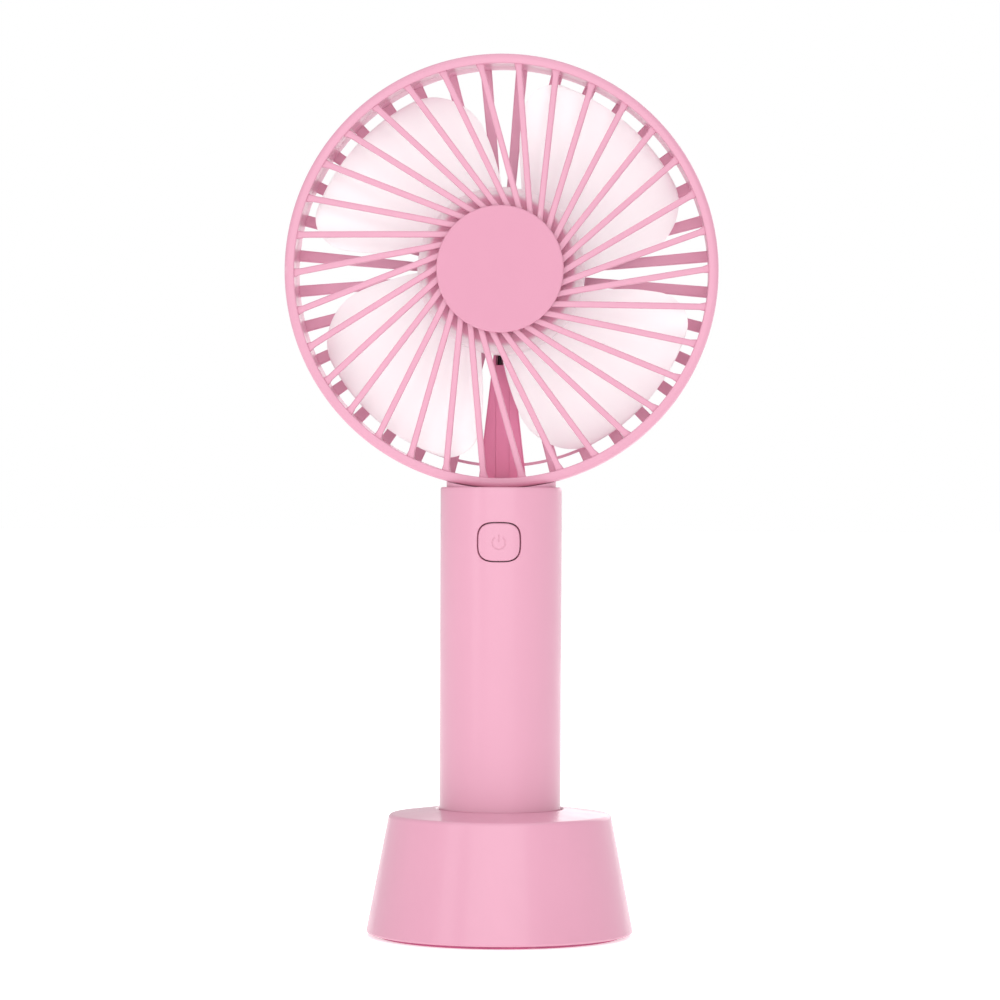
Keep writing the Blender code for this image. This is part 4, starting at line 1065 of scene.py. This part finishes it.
def spoke_front(radius):
    """How far forward the guard's spokes stand at a radius."""
    at_ring = 7.6 * MM
    bulge = 6.755 * MM
    return -(at_ring + bulge * (1 - (radius / RING_BORE) ** 2))


def rib_front(radius):
    """Front of the rear ribs, which dish backwards towards the hub."""
    at_ring = 6.0 * MM
    dish = 1.8 * MM
    return at_ring + dish * (1 - (radius / RING_BORE) ** 2)


def lug_turns():
    """Where the guard's lugs stand round the ring."""
    return [45 + number * 360 / LUG_COUNT for number in range(LUG_COUNT)]


class FAN_OT_make_guard(bpy.types.Operator):
    """Make the front guard: its ring, hub plate, slanting spokes, lugs and the plain disc on the hub"""

    bl_idname = "fan.make_guard"
    bl_label = "Make Front Guard"

    def execute(self, context):
        sizes = context.scene.fan_guard
        front = -sizes.ring_half_depth
        edge = sizes.ring_edge
        lip = 0.35 * MM
        rim = [
            (RING_BORE, SKIRT_END),
            *arc((RING_BORE + lip, front + lip), lip, 180, 270, 4),
            *arc((sizes.ring_radius - edge, front + edge), edge, -90, 0, 9),
            *arc((sizes.ring_radius - SEAM_EDGE, RING_SEAM_Y - SEAM_EDGE), SEAM_EDGE, 0, 90, 3),
            (SKIRT_RADIUS, RING_SEAM_Y),
            (SKIRT_RADIUS, SKIRT_END),
        ]
        bm = turned(rim, "Y", 240)
        hub_radius = sizes.badge_radius - GAP
        bore = BADGE_PEG_RADIUS + GAP
        chamfer = 0.3 * MM
        hub = [
            (bore, GUARD_HUB_FRONT),
            (hub_radius, GUARD_HUB_FRONT),
            (hub_radius, GUARD_HUB_BACK - chamfer),
            (hub_radius - chamfer, GUARD_HUB_BACK),
            (bore, GUARD_HUB_BACK),
        ]
        turned(hub, "Y", 96, bm=bm)
        first_turn = -4.8
        turns = [first_turn + number * 360 / sizes.spoke_count for number in range(sizes.spoke_count)]
        spokes = bars(
            turns,
            sizes.spoke_offset,
            (11.4 * MM, 50.4 * MM),
            (sizes.spoke_width, sizes.spoke_width),
            spoke_front,
            1.8 * MM,
            sizes.spoke_edge,
            flare=0.7,
        )
        lugs = bmesh.new()
        outline = rectangle((SKIRT_RADIUS - 0.6 * MM, SKIRT_END - MM), (LUG_RADIUS, SKIRT_END - 0.2 * MM))
        for turn in lug_turns():
            turned(outline, "Y", 8, turn - LUG_SPAN / 2, LUG_SPAN, lugs)
        guard = combined(solid("guard", bm), "UNION", solid("spokes", spokes), solid("lugs", lugs))
        piece(guard, "guard", "pink_plastic", finish("guard pink"), "front_grille", lift=HEAD_Z)
        self.make_badge(sizes)
        return {"FINISHED"}

    def make_badge(self, sizes):
        front = BADGE_LOW.y
        back = GUARD_HUB_FRONT - GAP
        edge = 0.45 * MM
        peg_end = GUARD_HUB_BACK - 0.4 * MM
        outline = [
            (0, front),
            *arc((sizes.badge_radius - edge, front + edge), edge, -90, 0, 6),
            (sizes.badge_radius, back),
            (BADGE_PEG_RADIUS, back),
            (BADGE_PEG_RADIUS, peg_end),
            (0, peg_end),
        ]
        badge = solid("guard_badge", turned(outline, "Y", 128))
        piece(badge, "guard", "pink_plastic", finish("badge pink"), "hub_badge", lift=HEAD_Z)


class FAN_OT_make_cage(bpy.types.Operator):
    """Make the rear cage: rim, ribs, motor cup, wire strut and the neck that the handle holds"""

    bl_idname = "fan.make_cage"
    bl_label = "Make Rear Cage"

    def execute(self, context):
        sizes = context.scene.fan_guard
        cage = solid("rear_cage", self.frame_shape(sizes))
        first_turn = 5
        turns = [first_turn + number * 360 / sizes.rib_count for number in range(sizes.rib_count)]
        clear = [turn for turn in turns if abs(turn - 180) > STRUT_HALF_ANGLE]
        reach = (18.7 * MM, 51.0 * MM)
        widths = (2.1 * MM, 2.8 * MM)
        ribs = bars(clear, 0, reach, widths, rib_front, 1.8 * MM, 0.35 * MM, cuts=8)
        combined(cage, "UNION", solid("ribs", ribs), self.strut(), self.neck(sizes))
        combined(cage, "DIFFERENCE", *self.cutters())
        piece(cage, "fan", "pink_plastic", finish("cage pink"), "rear_grille", lift=HEAD_Z)
        piece(self.strip(), "fan", "pink_plastic", finish("cage pink"), "wire_cover")
        return {"FINISHED"}

    def strip(self):
        """The strip over the wires. A notch at its top lets the black wire show."""
        low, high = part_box("wire_cover")
        wide = CHANNEL_HALF_WIDTH - 0.01 * MM
        foot = low.z - MM
        notch = HEAD_Z - 22.3 * MM
        side = 0.1 * MM
        outline = [
            (-wide, foot),
            (wide, foot),
            (wide, high.z),
            (side, high.z),
            (side, notch),
            (-wide, notch),
        ]
        bm = prism(outline, "Y", low.y, high.y)
        soften(bm, corners(bm), 0.1 * MM, 2)
        return solid("wire_strip", bm)

    def frame_shape(self, sizes):
        """The rim, the motor cup with its rear plate, and the arc rib near the rim."""
        start = RING_SEAM_Y + GAP
        rebate = SKIRT_RADIUS + GAP
        edge = sizes.ring_edge
        back = sizes.ring_half_depth
        step = RING_SEAM_Y + 2.3 * MM
        soft = 0.3 * MM
        rim = [
            (rebate, start),
            *arc((sizes.ring_radius - SEAM_EDGE, start + SEAM_EDGE), SEAM_EDGE, -90, 0, 3),
            *arc((sizes.ring_radius - edge, back - edge), edge, 0, 90, 9),
            *arc((RING_BORE + soft, back - soft), soft, 90, 180, 4),
            (RING_BORE, step),
            (rebate, step),
        ]
        bm = turned(rim, "Y", 240)
        wall = MOTOR_BORE + 1.5 * MM
        face = MOTOR_PLATE_Y - 1.2 * MM
        edge = 0.5 * MM
        nose = 0.8 * MM
        hub = [
            (0, face),
            *arc((wall - nose, face + nose), nose, -90, 0, 5),
            (wall, REAR_HUB_FRONT),
            *arc((REAR_HUB_RADIUS - edge, REAR_HUB_FRONT + edge), edge, -90, 0, 4),
            *arc((REAR_HUB_RADIUS - edge, REAR_HUB_BACK - edge), edge, 0, 90, 4),
            (MOTOR_BORE, REAR_HUB_BACK),
            (MOTOR_BORE, MOTOR_PLATE_Y),
            (0, MOTOR_PLATE_Y),
        ]
        turned(hub, "Y", 128, bm=bm)
        arc_rib = rectangle((46.65 * MM, 6.4 * MM), (47.35 * MM, 7.7 * MM))
        turned(arc_rib, "Y", 40, 154.5, 51, bm)
        return bm

    def strut(self):
        near = REAR_HUB_RADIUS - 1.1 * MM
        far = 51.9 * MM
        spread = sin(radians(STRUT_HALF_ANGLE))
        ends = ((1, near), (1, far), (-1, far), (-1, near))
        outline = [(side * out * spread, -out) for side, out in ends]
        bm = prism(outline, "Y", STRUT_FRONT, STRUT_BACK)
        soften(bm, corners(bm, lambda e: rise_of(e) > MM), 0.5 * MM)
        return solid("strut", bm)

    def neck(self, sizes):
        """A collar with a groove, saddled to fit the ring; heights are taken from the head's axis."""
        radius = NECK_SEAT_BORE - GAP
        groove = NECK_LIP_BORE - GAP
        flange = HANDLE_BORE - GAP
        flange_top = NECK_LIP_FOOT - GAP
        foot = flange_top - 1.2 * MM
        bore = 10.4 * MM
        roof = 107.2 * MM
        top = 111 * MM
        outline = [
            (radius, top),
            (radius, NECK_SEAT + GAP),
            (groove, NECK_SEAT + GAP),
            (groove, flange_top),
            (flange, flange_top),
            (flange, foot),
            (bore, foot),
            (bore, roof),
            (0, roof),
            (0, top),
        ]
        bm = turned([(r, h - HEAD_Z) for r, h in outline], steps=128)
        clearance = 0.12 * MM
        overlap = 1.2 * MM
        front = prism(circle(sizes.ring_radius + clearance, steps=360), "Y", -20 * MM, RING_SEAM_Y + GAP)
        rear = prism(circle(sizes.ring_radius - overlap, steps=360), "Y", -19 * MM, 20 * MM)
        return combined(solid("neck", bm), "DIFFERENCE", solid("saddle", front), solid("rear_saddle", rear))

    def cutters(self):
        """Wire channel and passage, the motor plate's holes, peg holes and the lugs' pockets."""
        wide = CHANNEL_HALF_WIDTH
        channel = box((-wide, wide), (5 * MM, CHANNEL_BACK), (-55 * MM, -17.2 * MM))
        passage = box((-wide, wide), (6 * MM, 11 * MM), (-18.3 * MM, -14.8 * MM))
        plate = (-5 * MM, -2 * MM)
        small = 1.2 * MM
        holes = prism(circle(3.3 * MM, steps=40), "Y", *plate)
        for node in ("motor_screw_left", "motor_screw_right"):
            prism(circle(small, (middle(node).x, 0), 24), "Y", *plate, holes)
        for spot in peg_spots():
            prism(circle(small, spot, 24), "Y", REAR_HUB_FRONT + 0.9 * MM, 11 * MM, holes)
        pockets = bmesh.new()
        slack = 0.8
        span = LUG_SPAN + 2 * slack + TWIST
        near = (SKIRT_RADIUS, RING_SEAM_Y + 0.7 * MM)
        far = (LUG_RADIUS + 0.25 * MM, RING_SEAM_Y + 2.3 * MM)
        for turn in lug_turns():
            turned(rectangle(near, far), "Y", 16, turn - LUG_SPAN / 2 - slack - TWIST, span, pockets)
        cuts = {"channel": channel, "passage": passage, "holes": holes, "pockets": pockets}
        return [solid(name, bm) for name, bm in cuts.items()]


def peg_spots():
    """Where the motor dome's three pegs stand, as seen along the head's axis."""
    radius = 16 * MM
    turns = [radians(angle) for angle in (0, 120, 240)]
    return [(radius * sin(a), radius * cos(a)) for a in turns]


class FAN_OT_make_dome(bpy.types.Operator):
    """Make the vented dome over the back of the motor"""

    bl_idname = "fan.make_dome"
    bl_label = "Make Motor Dome"

    def execute(self, context):
        radius = DOME_HIGH.x
        inner = radius - 1.2 * MM
        front = REAR_HUB_BACK + GAP
        rim = 0.6 * MM
        rise = DOME_HIGH.y - front - rim
        steps = 18
        turns = [pi / 2 * i / steps for i in range(steps + 1)]
        inside = 2.0 * MM
        edge = 0.2 * MM
        outline = [(radius * sin(a), front + rim + rise * sqrt(1 - sin(a) ** 4)) for a in turns]
        outline += arc((radius - edge, front + edge), edge, 0, -90, 3)
        outline += [(inner * sin(a), front + inside * sqrt(1 - sin(a) ** 4)) for a in reversed(turns)]
        dome = solid("motor_dome", turned(outline, "Y", 128))
        pegs = bmesh.new()
        for spot in peg_spots():
            prism(circle(0.9 * MM, spot, 24), "Y", REAR_HUB_FRONT + 1.2 * MM, front + 1.9 * MM, pegs)
        vents = prism(rounded(0.8 * MM, 3 * MM, (0, 8.5 * MM), 4, 40), "Y", 9 * MM, 16 * MM)
        repeated(vents, [30 + 60 * number for number in range(6)])
        combined(dome, "UNION", solid("pegs", pegs))
        combined(dome, "DIFFERENCE", solid("vents", vents))
        piece(dome, "fan", "pink_plastic", finish("shell pink"), "motor_cover", lift=HEAD_Z)
        return {"FINISHED"}


def corner_turn(radius, tip, corner):
    """Degrees that a rounded blade corner draws its edge in by, at a radius."""
    start = tip - corner
    if radius <= start:
        return 0.0
    share = min(1.0, (radius - start) / corner)
    return degrees(corner / radius) * (1 - sqrt(1 - share * share))


def blade_edges(radius, tip):
    """Angles of a blade's trailing and leading edges, clockwise from the gap before it."""
    draw_in = max(0.0, (35 * MM - radius) / (15 * MM))
    sweep = 0.49 * (radius - 20 * MM) / MM
    trailing = 7.5 + 6.5 * draw_in * draw_in + corner_turn(radius, tip, 9 * MM)
    leading = 90 - sweep - corner_turn(radius, tip, 12 * MM)
    return trailing, leading


def blade_front(radius, tip, across):
    """Height along Y of a blade's front skin: the leading edge lies furthest back."""
    share = (radius - BLADE_ROOT_RADIUS) / (tip - BLADE_ROOT_RADIUS)
    centre = (-3.3 + 2.2 * share) * MM
    pitch = (7.0 + 1.0 * share) * MM
    camber = 0.8 * MM * sin(pi * across)
    return centre + pitch * (across - 0.5) + camber


class FAN_OT_make_rotor(bpy.types.Operator):
    """Make the rotor: its hollow hub and the twisted blades"""

    bl_idname = "fan.make_rotor"
    bl_label = "Make Rotor"

    def execute(self, context):
        sizes = context.scene.fan_rotor
        rotor = combined(solid("rotor_blades", self.hub()), "UNION", solid("blades", self.blades(sizes)))
        piece(rotor, "rotor", "milky_plastic", finish("milky"), "fan_rotor", lift=HEAD_Z)
        return {"FINISHED"}

    def hub(self):
        shoulder = 2.2 * MM
        wall = 1.4 * MM
        inside = ROTOR_HUB_RADIUS - wall
        face = ROTOR_HUB_FRONT + wall
        boss = 3.2 * MM
        boss_end = -5 * MM
        bore = 1.1 * MM
        bore_end = ROTOR_HUB_FRONT + 0.9 * MM
        edge = 0.3 * MM
        outline = [
            (0, ROTOR_HUB_FRONT),
            *arc((ROTOR_HUB_RADIUS - shoulder, ROTOR_HUB_FRONT + shoulder), shoulder, -90, 0, 9),
            *arc((ROTOR_HUB_RADIUS - edge, ROTOR_HUB_BACK - edge), edge, 0, 90, 3),
            (inside, ROTOR_HUB_BACK),
            (inside, face + MM),
            (inside - MM, face),
            (boss, face),
            (boss, boss_end),
            (bore, boss_end),
            (bore, bore_end),
            (0, bore_end),
        ]
        return turned(outline, "Y", 160)

    def blades(self, sizes):
        bm = bmesh.new()
        tip = sizes.tip_radius
        grid = bmesh.ops.create_grid(bm, x_segments=36, y_segments=30, size=0.5)["verts"]
        for vert in grid:
            across = vert.co.x + 0.5
            radius = BLADE_ROOT_RADIUS + (tip - BLADE_ROOT_RADIUS) * sin(pi / 2 * (vert.co.y + 0.5))
            trailing, leading = blade_edges(radius, tip)
            angle = radians(trailing + (leading - trailing) * across)
            vert.co = Vector((radius * sin(angle), blade_front(radius, tip, across), radius * cos(angle)))
        raised(bm, bm.faces[:], (0, sizes.thickness, 0))
        bmesh.ops.recalc_face_normals(bm, faces=bm.faces)
        rim = corners(bm, least=50)
        soften(bm, rim, sizes.edge, 3)
        repeated(bm, [number * 360 / sizes.blade_count for number in range(sizes.blade_count)])
        return bm


# ---------------------------------------------------------------- inner parts and stage

INNER_FINISHES = {
    "shell pink": ["stand_base_plate"],
    "steel": [
        *[f"stand_screw_{number}" for number in (1, 2, 3)],
        *["battery_plus_contact", "battery_minus_strip", "battery_spring"],
        *["motor_can", "motor_screw_left", "motor_screw_right", "motor_shaft"],
    ],
    "sleeve": ["battery_cell"],
    "board": ["control_board", "charge_board"],
    "black": ["driver_chip", "switch_body", "switch_plunger", "motor_wire_black", "motor_end_cap"],
    "red": ["motor_wire_red"],
    "ferrite": ["motor_magnet_left", "motor_magnet_right"],
    "bronze": ["motor_bush_front", "motor_bush_rear", "motor_commutator"],
    "copper": ["motor_armature"],
}


class FAN_OT_finish_inner_parts(bpy.types.Operator):
    """Give the frame's own inner parts their finishes"""

    bl_idname = "fan.finish_inner_parts"
    bl_label = "Finish Inner Parts"

    def execute(self, context):
        for name, nodes in INNER_FINISHES.items():
            for node in nodes:
                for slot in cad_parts[node].material_slots:
                    slot.material = finish(name)
        return {"FINISHED"}


def area_light(name, spot, aim, size, power):
    """A soft box at a spot, facing a point."""
    light = bpy.data.lights.new(name, "AREA")
    light.shape = "RECTANGLE"
    light.size, light.size_y = size
    light.energy = power
    made = bpy.data.objects.new(name, light)
    made.location = spot
    made.rotation_euler = (Vector(aim) - Vector(spot)).to_track_quat("-Z", "Y").to_euler()
    bpy.context.collection.objects.link(made)


class FAN_OT_set_stage(bpy.types.Operator):
    """Set the pale floor, the soft lights and the camera"""

    bl_idname = "fan.set_stage"
    bl_label = "Set Stage"

    def execute(self, context):
        self.make_floor(context)
        self.make_world(context)
        aim = (0, 0, 0.11)
        area_light("Overhead", (0.0, -0.3, 1.3), aim, (1.6, 1.6), 6)
        area_light("Front", (0.0, -1.5, 0.55), aim, (1.6, 1.0), 6.8)
        area_light("Left strip", (-0.8, -0.78, 0.35), aim, (0.28, 1.1), 1.2)
        area_light("Rear", (0.5, 1.4, 0.6), aim, (1.4, 1.0), 6)
        self.make_camera(context)
        context.scene.view_settings.view_transform = "Standard"
        return {"FINISHED"}

    def make_floor(self, context):
        bm = bmesh.new()
        bmesh.ops.create_grid(bm, x_segments=4, y_segments=4, size=12.0)
        floor = solid("studio_floor", bm)
        if any(face.normal.z < 0 for face in floor.data.polygons):
            floor.data.flip_normals()
        glow = (1, 1, 1, 1)
        material, tree, shader = new_material("Studio Floor", Emission_Color=glow, Emission_Strength=0.46)
        surface = moulded(tree, context.scene.fan_finish.floor, 0.004, 0.8, flow_scale=3.0)
        wire_up(tree, shader, surface["Colour"], surface["Roughness"], surface["Height"], 0.000005)
        material.cycles.emission_sampling = "NONE"
        floor.data.materials.append(material)

    def make_world(self, context):
        """White to the camera, and a softer white as light."""
        world = bpy.data.worlds.new("Soft Studio")
        context.scene.world = world
        world.use_nodes = True
        tree = world.node_tree
        tree.nodes.clear()
        seen = add(tree, "ShaderNodeLightPath").outputs["Is Camera Ray"]
        strength = ranged(tree, seen, 0.0, 1.0, 0.66, 1.0)
        sky = add(tree, "ShaderNodeBackground", {"Color": (1, 1, 1, 1), "Strength": strength})
        add(tree, "ShaderNodeOutputWorld", {"Surface": sky.outputs["Background"]})

    def make_camera(self, context):
        """Level, far off and a little to the right of straight ahead."""
        lens = bpy.data.cameras.new("Camera")
        lens.lens = 136.8
        lens.sensor_width = 36
        lens.clip_start = 0.01
        lens.clip_end = 50
        made = bpy.data.objects.new("Camera", lens)
        bpy.context.collection.objects.link(made)
        azimuth = radians(2.1)
        distance = 0.925
        height = 0.1059
        aside = -0.0003
        made.location = (
            distance * sin(azimuth) + aside * cos(azimuth),
            -distance * cos(azimuth) + aside * sin(azimuth),
            height,
        )
        made.rotation_euler = (radians(90), radians(-0.24), azimuth)
        context.scene.camera = made


class FAN_PT_sidebar(bpy.types.Panel):
    """Lists the fan's pieces in the sidebar"""

    bl_idname = "FAN_PT_sidebar"
    bl_label = "Desk Fan"
    bl_space_type = "VIEW_3D"
    bl_region_type = "UI"
    bl_category = "Fan"

    def draw(self, context):
        for settings in (
            context.scene.fan_stand,
            context.scene.fan_handle,
            context.scene.fan_guard,
            context.scene.fan_rotor,
            context.scene.fan_finish,
        ):
            box_layout = self.layout.box()
            for name in settings.__annotations__:
                box_layout.prop(settings, name)
        for operator in OPERATORS:
            self.layout.operator(operator.bl_idname)


SETTINGS = {
    "fan_stand": FanStandSettings,
    "fan_handle": FanHandleSettings,
    "fan_guard": FanGuardSettings,
    "fan_rotor": FanRotorSettings,
    "fan_finish": FanFinishSettings,
}
OPERATORS = (
    FAN_OT_make_finishes,
    FAN_OT_make_stand,
    FAN_OT_make_handle,
    FAN_OT_make_end_cap,
    FAN_OT_make_button,
    FAN_OT_make_port,
    FAN_OT_make_guard,
    FAN_OT_make_cage,
    FAN_OT_make_dome,
    FAN_OT_make_rotor,
    FAN_OT_finish_inner_parts,
    FAN_OT_set_stage,
)


def register():
    for settings in (*SETTINGS.values(), *OPERATORS, FAN_PT_sidebar):
        bpy.utils.register_class(settings)
    for name, settings in SETTINGS.items():
        setattr(bpy.types.Scene, name, PointerProperty(type=settings))


def unregister():
    for name in SETTINGS:
        delattr(bpy.types.Scene, name)
    for settings in (FAN_PT_sidebar, *reversed(OPERATORS), *reversed(SETTINGS.values())):
        bpy.utils.unregister_class(settings)


def main():
    register()
    bpy.ops.fan.make_finishes()
    bpy.ops.fan.make_stand()
    bpy.ops.fan.make_handle()
    bpy.ops.fan.make_end_cap()
    bpy.ops.fan.make_button()
    bpy.ops.fan.make_port()
    bpy.ops.fan.make_guard()
    bpy.ops.fan.make_cage()
    bpy.ops.fan.make_dome()
    bpy.ops.fan.make_rotor()
    bpy.ops.fan.finish_inner_parts()
    bpy.ops.fan.set_stage()


if __name__ == "__main__":
    main()
